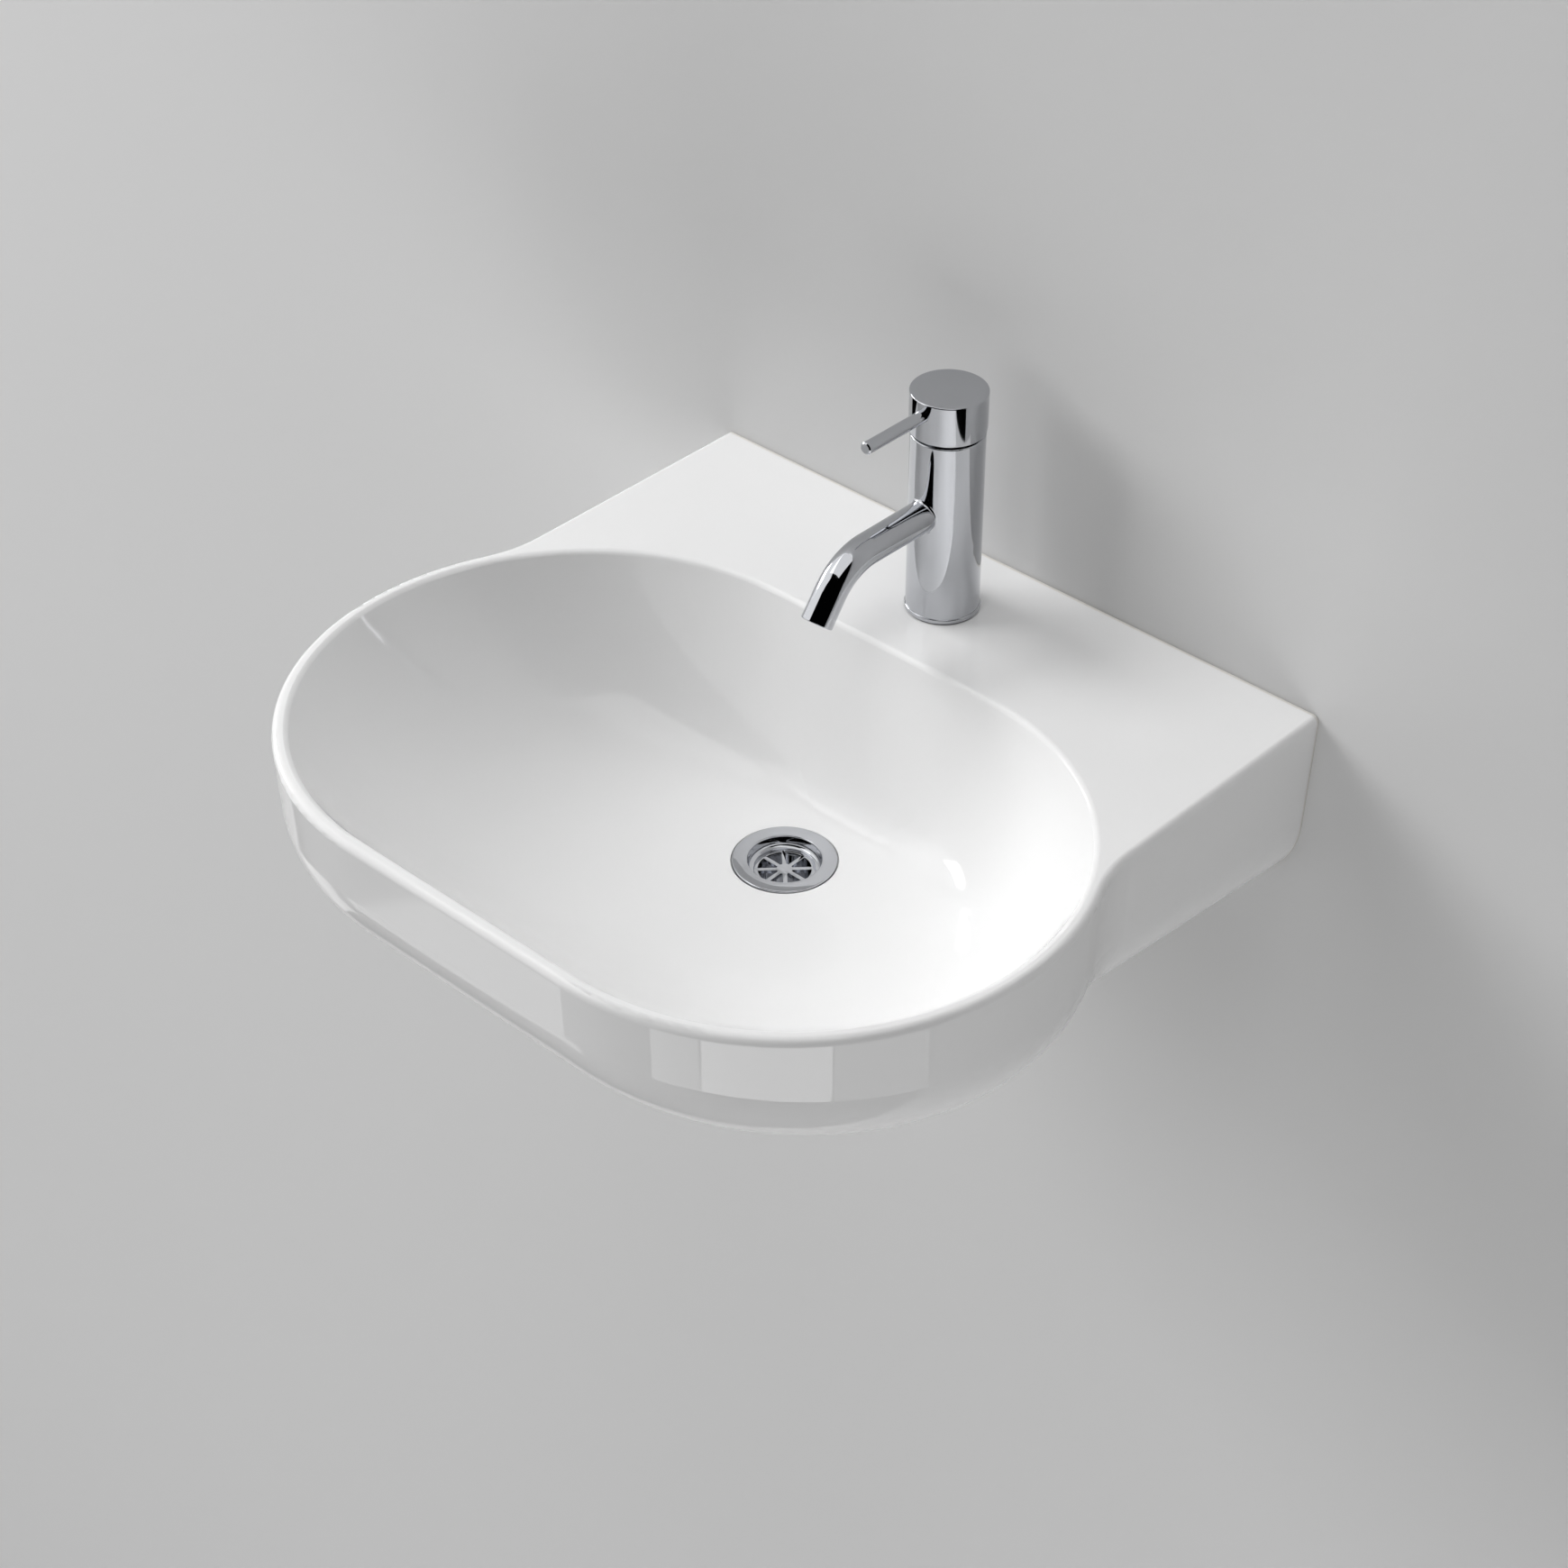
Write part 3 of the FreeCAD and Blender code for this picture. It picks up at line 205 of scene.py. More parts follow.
@dataclass(frozen=True)
class Glaze:
    """White china glaze with a faint cloudiness and ripple, and bare clay where it isn't seen.

    Each stretch of coordinates, such as wall_edge, is where the glaze fades, from its start to its stop in
    metres. Each pair for a noise is its waves to the metre and its detail.
    """

    name: str = "china_glaze"
    colour: tuple = (0.90, 0.90, 0.90)
    thin_colour: tuple = (0.88, 0.88, 0.88)
    clay_colour: tuple = (0.74, 0.72, 0.68)
    clay_shade: float = 0.86
    roughness: float = 0.035
    cloud_roughness: float = 0.02
    clay_roughness: float = 0.62
    refraction: float = 1.52
    cloud_noise: tuple = (9.0, 3.0)
    ripple_noise: tuple = (140.0, 2.0)
    clay_noise: tuple = (420.0, 5.0)
    grain_noise: tuple = (1100.0, 4.0)
    patch_noise: tuple = (26.0, 4.0)
    patch_levels: tuple = (0.36, 0.56)
    ripple_share: float = 0.06
    relief_depth: float = 0.0002
    wall_edge: tuple = (-0.0022, -0.0012)
    hollow_front: tuple = (-0.119, -0.115)
    hollow_back: tuple = (-0.013, -0.012)
    hollow_side: tuple = (0.185, 0.205)
    hollow_top: tuple = (0.055, 0.057)
    hollow_bottom: tuple = (-0.036, -0.024)

    def bare(self, graph: Graph) -> Wire:
        """Gives where the clay is bare: on the wall face, and in patches in the hollow behind the bowl.

        Args:
            graph: The material's graph.

        Returns:
            A mask from 0 to 1.
        """
        x, y, z = (graph.along(axis) for axis in "XYZ")
        aside = x.join("ABSOLUTE", x, 0.0)
        wall = graph.ramp(y, *self.wall_edge)
        patch = graph.ramp(graph.noise(*self.patch_noise), *self.patch_levels)
        deep = graph.ramp(y, *self.hollow_front) * (1.0 - graph.ramp(y, *self.hollow_back))
        deep = deep * (1.0 - graph.ramp(aside, *self.hollow_side))
        deep = deep * (1.0 - graph.ramp(z, *self.hollow_top)) * graph.ramp(z, *self.hollow_bottom)
        return wall.join("MAXIMUM", wall, deep * patch)

    def material(self) -> bpy.types.Material:
        """Builds the glaze.

        Returns:
            The finished material.
        """
        graph = Graph(self.name)
        cloud = graph.noise(*self.cloud_noise)
        ripple = graph.noise(*self.ripple_noise)
        grain = graph.noise(*self.grain_noise)
        bare = self.bare(graph)
        covered = 1.0 - bare
        glazed = graph.blend(cloud, self.colour, self.thin_colour)
        dark_clay = shade(self.clay_colour, self.clay_shade)
        clay = graph.blend(graph.noise(*self.clay_noise), self.clay_colour, dark_clay)
        gloss = self.roughness + self.cloud_roughness * cloud
        return graph.finish({
            "Base Color": graph.blend(bare, glazed, clay),
            "Roughness": gloss * covered + self.clay_roughness * bare,
            "Normal": graph.relief(ripple * covered * self.ripple_share + grain * bare, self.relief_depth),
            "IOR": self.refraction,
        })


@dataclass(frozen=True)
class Plate:
    """Plated or bare metal: a bright base with fine cloudiness and a fine grain."""

    name: str
    colour: tuple
    dull_colour: tuple
    roughness: float
    spread: float
    grain: float
    depth: float
    grain_detail: float = 2.0
    cloud_share: float = 0.1
    cloud_detail: float = 4.0

    def material(self) -> bpy.types.Material:
        """Builds the metal.

        Returns:
            The finished material.
        """
        graph = Graph(self.name)
        cloud = graph.noise(self.grain * self.cloud_share, self.cloud_detail)
        grain = graph.noise(self.grain, self.grain_detail)
        return graph.finish({
            "Base Color": graph.blend(cloud, self.colour, self.dull_colour),
            "Metallic": 1.0,
            "Roughness": self.roughness + self.spread * cloud,
            "Normal": graph.relief(grain, self.depth),
        })


@dataclass(frozen=True)
class Moulding:
    """Moulded rubber, nylon or pressed ceramic: a dull base with a fine skin."""

    name: str
    colour: tuple
    worn_colour: tuple
    roughness: float
    grain: float
    depth: float
    spread: float = 0.12
    grain_detail: float = 4.0
    cloud_share: float = 0.08
    cloud_detail: float = 3.0

    def material(self) -> bpy.types.Material:
        """Builds the moulding's skin.

        Returns:
            The finished material.
        """
        graph = Graph(self.name)
        cloud = graph.noise(self.grain * self.cloud_share, self.cloud_detail)
        skin = graph.noise(self.grain, self.grain_detail)
        return graph.finish({
            "Base Color": graph.blend(cloud, self.colour, self.worn_colour),
            "Roughness": self.roughness + self.spread * skin,
            "Normal": graph.relief(skin, self.depth),
        })


class Finish(Enum):
    """The finishes, by the record's material slots."""

    china = Glaze()
    chrome = Plate("polished_chrome", (0.55, 0.56, 0.585), (0.52, 0.53, 0.555), 0.035, 0.02, 90.0, 0.0000015)
    brass = Plate("machined_brass", (0.80, 0.60, 0.28), (0.66, 0.48, 0.21), 0.24, 0.14, 900.0, 0.00002)
    zinc_steel = Plate("zinc_plate", (0.62, 0.62, 0.60), (0.47, 0.47, 0.44), 0.30, 0.16, 1200.0, 0.00002)
    rubber = Moulding("seal_rubber", (0.018, 0.018, 0.019), (0.035, 0.034, 0.033), 0.55, 1500.0, 0.00003)
    nylon = Moulding("nylon", (0.80, 0.79, 0.73), (0.74, 0.73, 0.66), 0.38, 700.0, 0.00002)
    cartridge_plastic = Moulding("cartridge_moulding", (0.62, 0.64, 0.67), (0.56, 0.58, 0.61),
                                 0.36, 700.0, 0.00002)
    disc_ceramic = Moulding("lapped_ceramic", (0.82, 0.80, 0.75), (0.76, 0.74, 0.69), 0.16, 400.0, 0.000006)


class Paintbox:
    """Makes each finish once and puts it on pieces."""

    def __init__(self) -> None:
        """Reads each node's slot from the record and starts with no material made."""
        self.slots = {part["node"]: part["material_slot"] for part in frame["record"]["subparts"]}
        self.made: dict[str, bpy.types.Material] = {}
        self.replaced: set[str] = set()

    def material(self, slot: str) -> bpy.types.Material:
        """Gives a slot's material, made on first use.

        Args:
            slot: The slot's name in the record.

        Returns:
            The slot's material.
        """
        if slot not in self.made:
            self.made[slot] = Finish[slot].value.material()
        return self.made[slot]

    def dress_nodes(self) -> None:
        """Puts its slot's material on each CAD node that still shows."""
        for node, slot in self.slots.items():
            if node not in self.replaced:
                for place in frame["nodes"][node].material_slots:
                    place.material = self.material(slot)
                LOG.info("dressed %s in %s", node, slot)

    def dress_piece(self, piece: bpy.types.Object, node: str) -> None:
        """Dresses a new piece and puts it in a CAD node's place.

        Args:
            piece: The piece, already where it belongs.
            node: The node that it stands for, whose slot it takes.
        """
        slot = self.slots[node]
        piece.data.materials.append(self.material(slot))
        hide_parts(node)
        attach(piece, "fixed")
        self.replaced.add(node)
        LOG.info("built %s in %s", piece.name, slot)


@dataclass(frozen=True)
class Thread:
    """A screw thread, with a flat on its crest and a wider one at its root.

    The ends of the crest and of the root are shares of the pitch.
    """

    crest: float
    pitch: float
    depth: float
    steps: int = 32
    crest_end: float = 0.125
    root_start: float = 0.4375
    root_end: float = 0.6875

    def ridge(self, level: float) -> list[tuple[float, float]]:
        """Gives one ridge's corners.

        Args:
            level: The level that the ridge starts at and climbs from.

        Returns:
            Each corner's radius and level.
        """
        root = self.crest - self.depth
        corners = ((self.crest, 0.0), (self.crest, self.crest_end),
                   (root, self.root_start), (root, self.root_end))
        return [(radius, level + share * self.pitch) for radius, share in corners]


class Blank:
    """A mesh in the making round an upright axis, with the steps that turned pieces share."""

    ROUNDING_STEPS = 6
    BORE_STEPS = 48
    CHAMFER_STEP = 6
    CHAMFER_ANGLE = math.radians(30)
    CHAMFER_START = 0.475
    SINK_SHARE = 0.12
    SINK_LIMIT = 0.0008
    UPRIGHT = 0.99
    RIDGES_BELOW = 2
    RIDGES_ABOVE = 1
    HALF_CORNER = math.radians(30)
    CREASE = math.radians(32)

    def __init__(self) -> None:
        """Starts with nothing."""
        self.bm = bmesh.new()

    def everything(self) -> list:
        """Gives all the blank's geometry."""
        return [*self.bm.verts, *self.bm.edges, *self.bm.faces]

    def open_edges(self, level: float) -> list[bmesh.types.BMEdge]:
        """Gives the open edges that lie at a level."""
        return [edge for edge in self.bm.edges
                if edge.is_boundary and all(abs(vert.co.z - level) < NEAR for vert in edge.verts)]

    def cut(self, point: Vector, outward: Vector) -> None:
        """Cuts away all that lies outward of a plane through a point."""
        bmesh.ops.bisect_plane(self.bm, geom=self.everything(), dist=TOUCHING, plane_co=point,
                               plane_no=outward, clear_outer=True)

    def sweep(self, corners: list[tuple[float, float]], steps: int, rise: float) -> None:
        """Spins an open outline once round the axis.

        Args:
            corners: The outline's radii and levels.
            steps: The steps in the turn.
            rise: How far the outline climbs in the turn.
        """
        verts = [self.bm.verts.new((radius, 0.0, level)) for radius, level in corners]
        edges = [self.bm.edges.new(pair) for pair in zip(verts, verts[1:])]
        bmesh.ops.spin(self.bm, geom=verts + edges, cent=(0, 0, 0), axis=(0, 0, 1), dvec=(0, 0, rise / steps),
                       angle=2 * math.pi, steps=steps, use_merge=rise == 0, use_duplicate=False)

    def turn(self, corners: list[tuple[float, float, float]], steps: int) -> None:
        """Turns an open outline with rounded corners.

        Args:
            corners: The outline's radii and levels, with each corner's rounding.
            steps: The steps round the axis.
        """
        outline = bmesh.new()
        verts = [outline.verts.new((radius, 0.0, level)) for radius, level, _ in corners]
        for pair in zip(verts, verts[1:]):
            outline.edges.new(pair)
        for vert, (_, _, size) in zip(verts, corners):
            if size:
                bmesh.ops.bevel(outline, geom=[vert], offset=size, offset_type="OFFSET", affect="VERTICES",
                                segments=self.ROUNDING_STEPS, profile=0.5, material=-1)
        ends = [vert for vert in outline.verts if len(vert.link_edges) == 1]
        first = min(ends, key=lambda vert: (vert.co.xz - Vector(corners[0][:2])).length)
        path, edge = [first], first.link_edges[0]
        while len(path) < len(outline.verts):
            path.append(edge.other_vert(path[-1]))
            edge = next((other for other in path[-1].link_edges if other != edge), edge)
        self.sweep([(vert.co.x, vert.co.z) for vert in path], steps, 0.0)
        outline.free()

    def screw(self, thread: Thread, bottom: float, top: float) -> None:
        """Adds a thread's skin between two levels to an empty blank, open at both ends.

        Args:
            thread: The thread.
            bottom: Its lower level.
            top: Its upper level.
        """
        ridges = math.ceil((top - bottom) / thread.pitch) + self.RIDGES_ABOVE
        corners = []
        for number in range(-self.RIDGES_BELOW, ridges):
            corners += thread.ridge(bottom + number * thread.pitch)
        self.sweep(corners, thread.steps, thread.pitch)
        bmesh.ops.remove_doubles(self.bm, verts=self.bm.verts, dist=NEAR)
        for level, way in ((top, 1), (bottom, -1)):
            self.cut(Vector((0, 0, level)), Vector((0, 0, way)))

    def lead_in(self, thread: Thread, level: float, way: int) -> None:
        """Draws a thread's end in over its last pitch.

        Args:
            thread: The thread.
            level: The level of its end.
            way: 1 for the upper end and -1 for the lower one.
        """
        for vert in self.bm.verts:
            share = 1.0 - way * (level - vert.co.z) / thread.pitch
            if share > 0.0:
                shrink = 1.0 - share * thread.depth / thread.crest
                vert.co.x *= shrink
                vert.co.y *= shrink

    def close(self) -> None:
        """Fills each open loop with a face."""
        bmesh.ops.holes_fill(self.bm, edges=[edge for edge in self.bm.edges if edge.is_boundary], sides=0)

    def cover(self, level: float) -> None:
        """Fills between the two open loops at a level."""
        bmesh.ops.triangle_fill(self.bm, use_beauty=True, edges=self.open_edges(level), normal=(0, 0, 1))

    def hexagon(self, flats: float, bore: float, thickness: float) -> None:
        """Makes a hexagon nut from level 0 upwards, chamfered on both sides and countersunk.

        Args:
            flats: The width across flats.
            bore: The hole's radius.
            thickness: The nut's thickness.
        """
        turn = Matrix.Rotation(self.HALF_CORNER, 4, "Z")
        bmesh.ops.create_circle(self.bm, cap_ends=True, segments=6, radius=flats / math.sqrt(3), matrix=turn)
        raised = bmesh.ops.extrude_face_region(self.bm, geom=self.bm.faces[:])["geom"]
        bmesh.ops.translate(self.bm, vec=(0, 0, thickness),
                            verts=[item for item in raised if isinstance(item, bmesh.types.BMVert)])
        for level, way in ((thickness, 1), (0.0, -1)):
            face_middle = Vector((0, 0, level))
            for degrees in range(0, 360, self.CHAMFER_STEP):
                out = Vector((math.cos(math.radians(degrees)), math.sin(math.radians(degrees)), 0.0))
                lean = Vector((0, 0, way * math.cos(self.CHAMFER_ANGLE)))
                edge = face_middle + out * self.CHAMFER_START * flats
                self.cut(edge, out * math.sin(self.CHAMFER_ANGLE) + lean)
                self.close()
        self.bm.normal_update()
        ends = [face for face in self.bm.faces
                if all(min(abs(vert.co.z), abs(vert.co.z - thickness)) < NEAR for vert in face.verts)
                and abs(face.normal.z) > self.UPRIGHT]
        bmesh.ops.delete(self.bm, geom=ends, context="FACES_ONLY")
        sink = min(self.SINK_SHARE * bore, self.SINK_LIMIT)
        hole = [(bore + sink, thickness), (bore, thickness - sink), (bore, sink), (bore + sink, 0.0)]
        self.sweep(hole, self.BORE_STEPS, 0.0)
        for level in (0.0, thickness):
            self.cover(level)

    def piece(self, name: str, places: list[Matrix]) -> bpy.types.Object:
        """Puts the blank in its places and makes it an object.

        Args:
            name: The piece's name.
            places: Where it stands, once or more.

        Returns:
            The piece.
        """
        bmesh.ops.remove_doubles(self.bm, verts=self.bm.verts, dist=TOUCHING)
        bmesh.ops.recalc_face_normals(self.bm, faces=self.bm.faces)
        source = self.everything()
        copies = [source] + [bmesh.ops.duplicate(self.bm, geom=source)["geom"] for _ in places[1:]]
        for geometry, place in zip(copies, places):
            verts = [item for item in geometry if isinstance(item, bmesh.types.BMVert)]
            bmesh.ops.transform(self.bm, matrix=place, verts=verts)
        mesh = bpy.data.meshes.new(name)
        self.bm.to_mesh(mesh)
        self.bm.free()
        mesh.shade_smooth()
        mesh.set_sharp_from_angle(angle=self.CREASE)
        piece = bpy.data.objects.new(name, mesh)
        bpy.context.scene.collection.objects.link(piece)
        return piece


@dataclass
class WallFixing:
    """The two studs that hang the basin on the wall, and their nuts."""

    spacing: float = 0.280
    into_wall: float = 0.060
    inside: float = 0.036
    thread: Thread = Thread(0.005, 0.0015, 0.0008)
    nut_flats: float = 0.017
    nut_thickness: float = 0.008
    nut_face: float = -0.019

    def places(self, y: float) -> list[Matrix]:
        """Gives both studs' places at a depth, with the axis turned out of the wall."""
        turn = Matrix.Rotation(math.radians(90), 4, "X")
        return [Matrix.Translation((side * self.spacing / 2, y, 0)) @ turn for side in (-1, 1)]

    def build(self, paints: Paintbox) -> None:
        """Makes the studs with their threads, and the chamfered nuts.

        Args:
            paints: What dresses them.
        """
        stud = Blank()
        stud.screw(self.thread, -self.into_wall, self.inside)
        stud.lead_in(self.thread, self.inside, 1)
        stud.lead_in(self.thread, -self.into_wall, -1)
        stud.close()
        paints.dress_piece(stud.piece("wall_stud_threads", self.places(0.0)), "wall_studs")
        nut = Blank()
        nut.hexagon(self.nut_flats, self.thread.crest, self.nut_thickness)
        paints.dress_piece(nut.piece("wall_stud_nuts", self.places(self.nut_face)), "stud_nuts")


@dataclass
class Waste:
    """The waste in the bowl's floor: flanged body with its threaded tail, grate and backnut."""

    axis: tuple = (0.0, -0.203, 0.0)
    top: float = -0.047
    flange_radius: float = 0.0325
    flange_thickness: float = 0.0022
    flange_round: float = 0.0009
    flange_under_round: float = 0.0003
    mouth_radius: float = 0.0228
    mouth_round: float = 0.001
    mouth_cove: float = 0.0032
    neck_radius: float = 0.0236
    neck_length: float = 0.008
    grate_radius: float = 0.0192
    grate_depth: float = 0.008
    grate_thickness: float = 0.0024
    grate_round: float = 0.0003
    grate_flat: float = math.radians(1)
    grate_edge: float = math.radians(60)
    bore_radius: float = 0.0178
    tail_length: float = 0.085
    thread: Thread = Thread(0.02095, 0.002309, 0.0012, 64)
    turn_steps: int = 128
    nut_flats: float = 0.058
    nut_thickness: float = 0.009

    def body(self) -> bpy.types.Object:
        """Makes the flange, mouth, neck and threaded tail in one skin.

        Returns:
            The waste's body.
        """
        under = self.top - self.flange_thickness
        neck_end = under - self.neck_length
        grate_top = self.top - self.grate_depth
        seat = grate_top - self.grate_thickness
        end = self.top - self.tail_length
        blank = Blank()
        blank.screw(self.thread, end, neck_end)
        blank.turn([
            (self.neck_radius, neck_end, 0.0), (self.neck_radius, under, 0.0),
            (self.flange_radius, under, self.flange_under_round),
            (self.flange_radius, self.top, self.flange_round),
            (self.mouth_radius, self.top, self.mouth_round), (self.mouth_radius, grate_top, self.mouth_cove),
            (self.grate_radius, grate_top, 0.0), (self.grate_radius, seat, 0.0),
            (self.bore_radius, seat, 0.0), (self.bore_radius, end, 0.0),
        ], self.turn_steps)
        for level in (neck_end, end):
            blank.cover(level)
        return blank.piece("waste_threaded_body", [Matrix.Translation(self.axis)])

    def grate(self) -> bpy.types.Object:
        """Makes the grate from its CAD form, with its edges broken.

        Returns:
            The grate.
        """
        blank = Blank()
        blank.bm.from_mesh(frame["nodes"]["waste_grate"].data)
        bmesh.ops.remove_doubles(blank.bm, verts=blank.bm.verts, dist=NEAR)
        bmesh.ops.dissolve_limit(blank.bm, angle_limit=self.grate_flat, verts=blank.bm.verts,
                                 edges=blank.bm.edges)
        sharp = [edge for edge in blank.bm.edges
                 if len(edge.link_faces) == 2 and edge.calc_face_angle() > self.grate_edge]
        bmesh.ops.bevel(blank.bm, geom=sharp, offset=self.grate_round, offset_type="OFFSET", affect="EDGES",
                        segments=2, profile=0.5, material=-1, clamp_overlap=True)
        return blank.piece("waste_spoked_grate", [Matrix()])

    def build(self, paints: Paintbox) -> None:
        """Makes the waste's pieces and dresses them.

        Args:
            paints: What dresses them.
        """
        paints.dress_piece(self.body(), "waste_body")
        paints.dress_piece(self.grate(), "waste_grate")
        low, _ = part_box("waste_backnut")
        nut = Blank()
        nut.hexagon(self.nut_flats, self.thread.crest, self.nut_thickness)
        place = Matrix.Translation((self.axis[0], self.axis[1], low[2]))
        paints.dress_piece(nut.piece("waste_chamfered_backnut", [place]), "waste_backnut")


@dataclass
class MixerClamp:
    """The stud and nut that hold the mixer down from under the shelf."""

    pitch: float = 0.00125
    depth: float = 0.0007

    def build(self, paints: Paintbox) -> None:
        """Makes the stud with its thread, and the chamfered nut.

        Args:
            paints: What dresses them.
        """
        low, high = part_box("mounting_stud")
        thread = Thread((high[0] - low[0]) / 2, self.pitch, self.depth)
        place = Matrix.Translation(((low[0] + high[0]) / 2, (low[1] + high[1]) / 2, 0.0))
        stud = Blank()
        stud.screw(thread, low[2], high[2])
        stud.lead_in(thread, low[2], -1)
        stud.close()
        paints.dress_piece(stud.piece("mounting_stud_thread", [place]), "mounting_stud")
        low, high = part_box("mounting_nut")
        nut = Blank()
        nut.hexagon(high[1] - low[1], thread.crest, high[2] - low[2])
        paints.dress_piece(nut.piece("mounting_chamfered_nut", [place @ Matrix.Translation((0, 0, low[2]))]),
                           "mounting_nut")


@dataclass(frozen=True)
class Lamp:
    """A soft rectangular lamp, placed by the direction that the basin sees it in.

    The azimuth is counted from straight ahead of the wall, positive to the left, and the width and the
    height are the angles that the lamp fills. A lamp that isn't mirrored is left out of reflections, and one
    that doesn't light shows in reflections alone.
    """

    name: str
    azimuth: float
    elevation: float
    wide: float
    tall: float
    power: float
    mirrored: bool = True
    lights: bool = True
    distance: float = 4.5
    target: tuple = (0.0, -0.2, 0.05)

    def span(self, angle: float) -> float:
        """Gives the length that fills an angle at the lamp's distance."""
        return 2.0 * self.distance * math.tan(math.radians(angle) / 2.0)

    def build(self) -> None:
        """Makes the lamp and turns it to the basin."""
        data = bpy.data.lights.new(self.name, "AREA")
        data.shape = "RECTANGLE"
        data.size = self.span(self.wide)
        data.size_y = self.span(self.tall)
        data.energy = self.power
        lamp = bpy.data.objects.new(self.name, data)
        lamp.visible_camera = False
        lamp.visible_glossy = self.mirrored
        lamp.visible_diffuse = self.lights
        turn = Matrix.Rotation(math.radians(-self.azimuth), 4, "Z")
        tilt = Matrix.Rotation(math.radians(90.0 - self.elevation), 4, "X")
        away = Matrix.Translation((0, 0, self.distance))
        lamp.matrix_world = Matrix.Translation(self.target) @ turn @ tilt @ away
        bpy.context.scene.collection.objects.link(lamp)


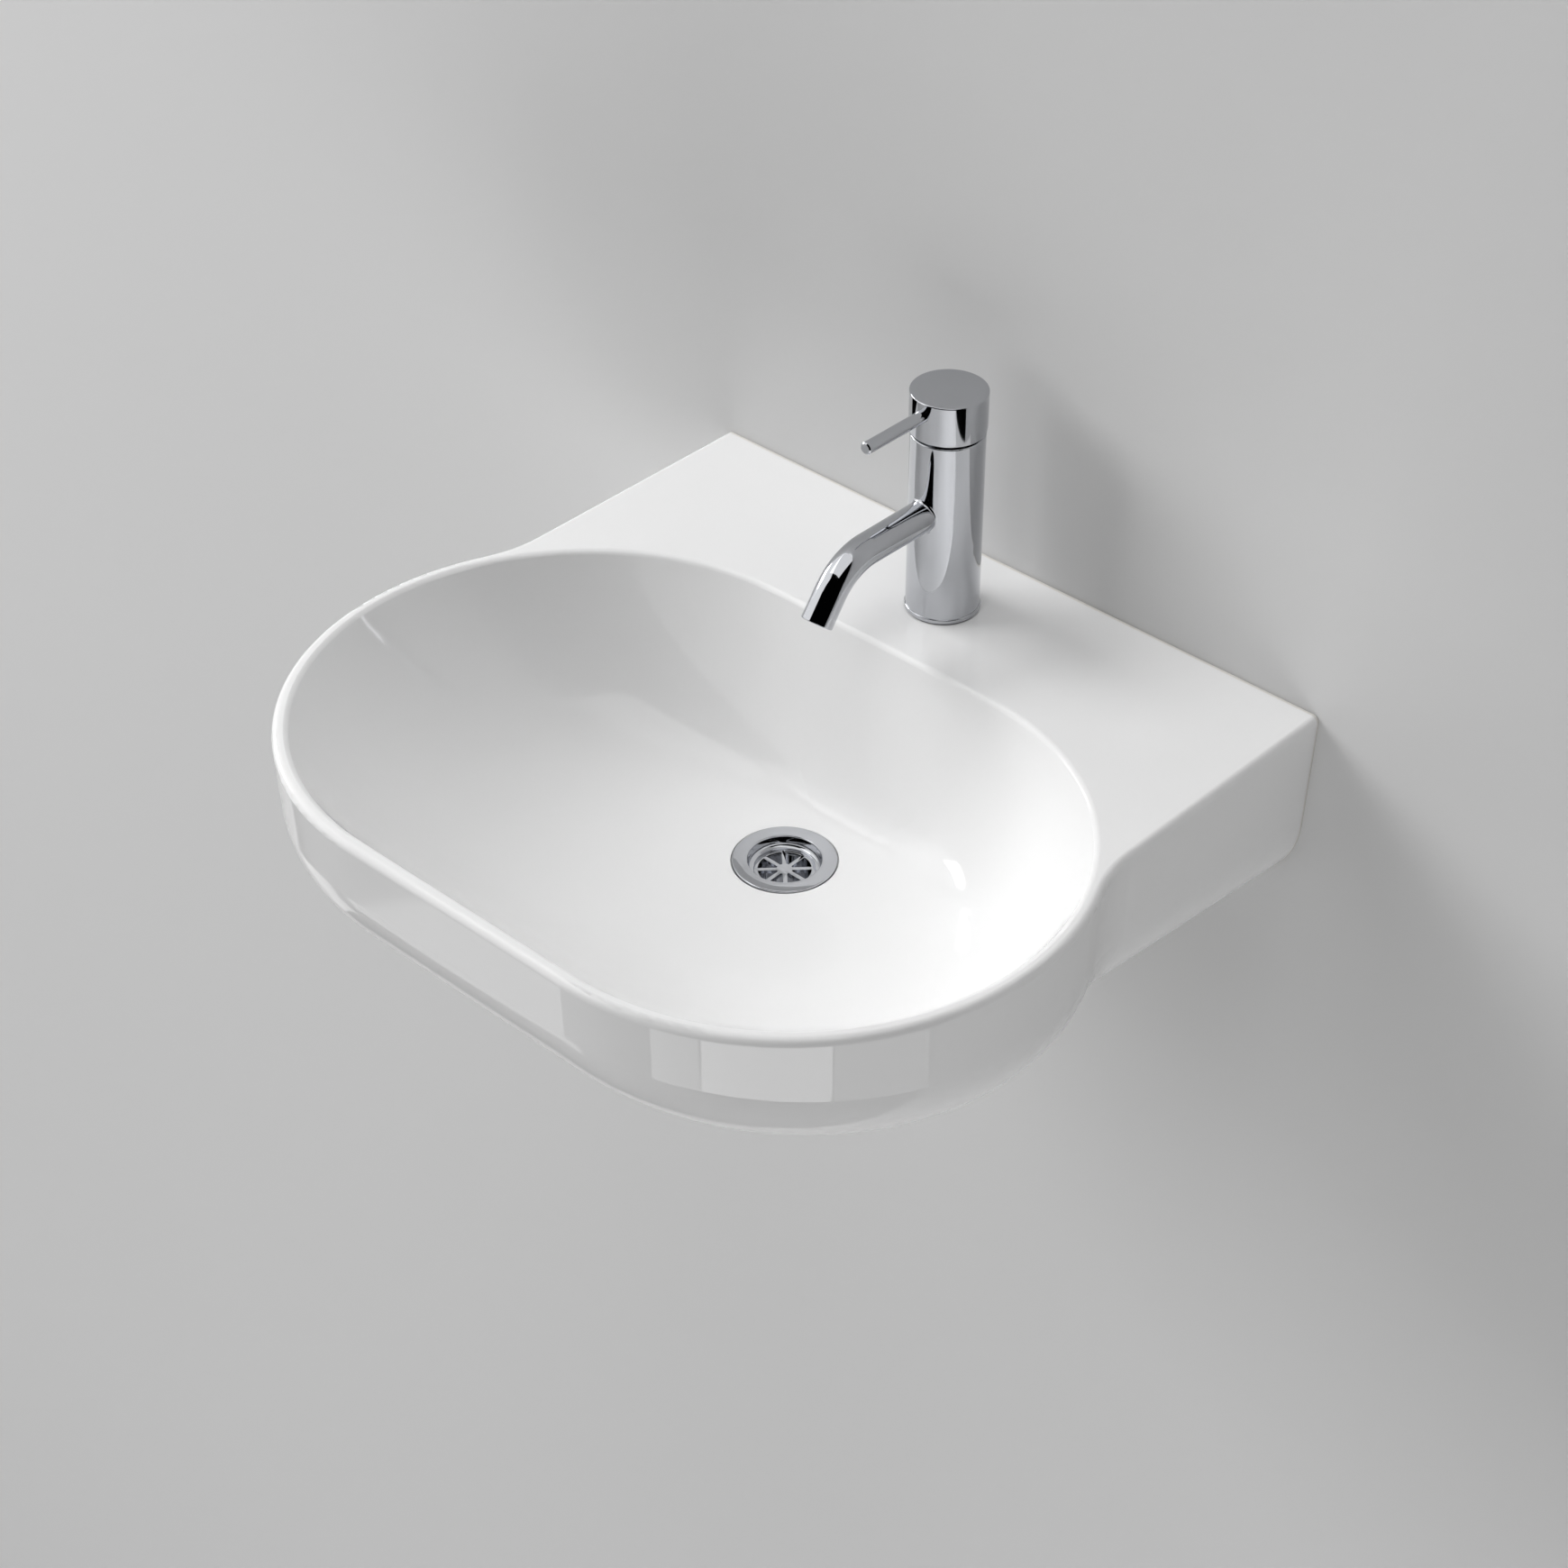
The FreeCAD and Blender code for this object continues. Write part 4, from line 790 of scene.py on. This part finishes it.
@dataclass
class Studio:
    """Plain wall and floor, soft lamps, and an even grey surround that reflections show darker."""

    wall_colour: tuple = (0.70, 0.70, 0.70)
    floor_colour: tuple = (0.70, 0.70, 0.70)
    paint_shade: float = 0.985
    paint_noise: tuple = (1.5, 2.0)
    wall_gap: float = 0.0006
    touch: float = 0.0011
    reach: float = 12.0
    floor_level: float = -4.5
    surround: float = 0.01
    mirrored_loss: float = 0.9
    lamps: tuple = (
        Lamp("left_panel", 84.0, 16.0, 24.0, 13.0, 56.0),
        Lamp("key_left", 54.0, 30.0, 22.0, 22.0, 73.0, mirrored=False),
        Lamp("top_left", 82.0, 53.0, 20.0, 20.0, 56.0, mirrored=False),
        Lamp("overhead", -40.0, 76.0, 26.0, 26.0, 52.0, mirrored=False),
        Lamp("low_left", 65.0, -30.0, 40.0, 34.0, 32.0, mirrored=False),
        Lamp("low_right", -40.0, -30.0, 40.0, 34.0, 68.0, mirrored=False),
        Lamp("front_soft", 17.0, 12.0, 26.0, 26.0, 18.0, mirrored=False),
        Lamp("below", -20.0, -65.0, 20.0, 20.0, 21.0, mirrored=False),
        Lamp("left_sheet", 60.0, 22.0, 64.0, 76.0, 150.0, lights=False),
        Lamp("ceiling", 0.0, 78.0, 75.0, 36.0, 70.0, lights=False),
        Lamp("strip_left_near", 52.0, -44.5, 12.5, 9.0, 1.6, lights=False),
        Lamp("strip_left_far", 82.5, -44.5, 17.0, 9.0, 2.6, lights=False),
        Lamp("strip_front", -1.5, -44.5, 13.0, 9.0, 3.0, lights=False),
        Lamp("strip_right_near", -34.5, -44.5, 33.0, 9.0, 15.0, lights=False),
        Lamp("strip_right_far", -76.0, -44.5, 25.0, 9.0, 4.0, lights=False),
        Lamp("behind_left", 152.0, 14.0, 26.0, 26.0, 45.0, mirrored=False),
        Lamp("behind_right", -150.0, 26.0, 26.0, 26.0, 30.0, mirrored=False),
    )

    def sheet(self, name: str, colour: tuple, turn: Matrix) -> bpy.types.Object:
        """Makes a plain one-sided sheet of the stage, which lets light through to a face that touches it.

        Args:
            name: The sheet's name.
            colour: Its colour.
            turn: Where it lies.

        Returns:
            The sheet.
        """
        mesh = bpy.data.meshes.new(name)
        bm = bmesh.new()
        bmesh.ops.create_grid(bm, x_segments=1, y_segments=1, size=self.reach, matrix=turn)
        bm.to_mesh(mesh)
        bm.free()
        graph = Graph(name)
        tone = graph.blend(graph.noise(*self.paint_noise), colour, shade(colour, self.paint_shade))
        paint = graph.wire("ShaderNodeBsdfDiffuse", {}, {"Color": tone})
        clear = graph.wire("ShaderNodeBsdfTransparent", {}, {})
        behind = graph.wire("ShaderNodeNewGeometry", {}, {}, "Backfacing")
        # The basin's back lies on the wall, and would be black in a view from behind.
        length = graph.wire("ShaderNodeLightPath", {}, {}, "Ray Length")
        unseen = behind.join("MAXIMUM", behind, length.join("LESS_THAN", length, self.touch))
        surface = graph.wire("ShaderNodeMixShader", {}, {0: unseen, 1: paint, 2: clear})
        graph.node("ShaderNodeOutputMaterial", {}, {"Surface": surface})
        mesh.materials.append(graph.material)
        sheet = bpy.data.objects.new(name, mesh)
        bpy.context.scene.collection.objects.link(sheet)
        return sheet

    def build(self) -> None:
        """Makes the stage and its light."""
        face_room = Matrix.Rotation(math.radians(90), 4, "X")
        self.sheet("stage_wall", self.wall_colour, Matrix.Translation((0, self.wall_gap, 0)) @ face_room)
        floor = self.sheet("stage_floor", self.floor_colour, Matrix.Translation((0, 0, self.floor_level)))
        floor.visible_glossy = False
        scene = bpy.context.scene
        scene.world = bpy.data.worlds.new("surround")
        scene.world.use_nodes = True
        nodes, links = scene.world.node_tree.nodes, scene.world.node_tree.links
        background = nodes["Background"]
        background.inputs["Color"].default_value = (1.0, 1.0, 1.0, 1.0)
        path = nodes.new("ShaderNodeLightPath")
        dim = nodes.new("ShaderNodeMath")
        dim.operation = "MULTIPLY_ADD"
        dim.inputs[1].default_value = -self.mirrored_loss * self.surround
        dim.inputs[2].default_value = self.surround
        links.new(path.outputs["Is Glossy Ray"], dim.inputs[0])
        links.new(dim.outputs[0], background.inputs["Strength"])
        scene.view_settings.view_transform = "Standard"
        for lamp in self.lamps:
            lamp.build()


@dataclass
class PhotoCamera:
    """The camera at the photograph's viewing angle."""

    place: tuple = (1.083456, -1.36913, 1.208016)
    azimuth: float = 42.909
    elevation: float = 36.967
    focal_px: float = 3677.3
    frame_px: float = 1740.0
    sensor: float = 36.0
    near: float = 0.05

    def build(self) -> None:
        """Makes the camera and sets it as the scene's own."""
        data = bpy.data.cameras.new("photo_camera")
        data.sensor_width = self.sensor
        data.lens = self.focal_px / self.frame_px * self.sensor
        data.clip_start = self.near
        camera = bpy.data.objects.new("photo_camera", data)
        camera.location = self.place
        camera.rotation_euler = (math.radians(90 - self.elevation), 0.0, math.radians(self.azimuth))
        bpy.context.scene.collection.objects.link(camera)
        bpy.context.scene.camera = camera


def main() -> None:
    """Builds the stage and dresses each piece in order."""
    logging.basicConfig(level=logging.INFO, format="%(message)s")
    PhotoCamera().build()
    Studio().build()
    paints = Paintbox()
    WallFixing().build(paints)
    Waste().build(paints)
    MixerClamp().build(paints)
    paints.dress_nodes()


if __name__ == "__main__":
    main()
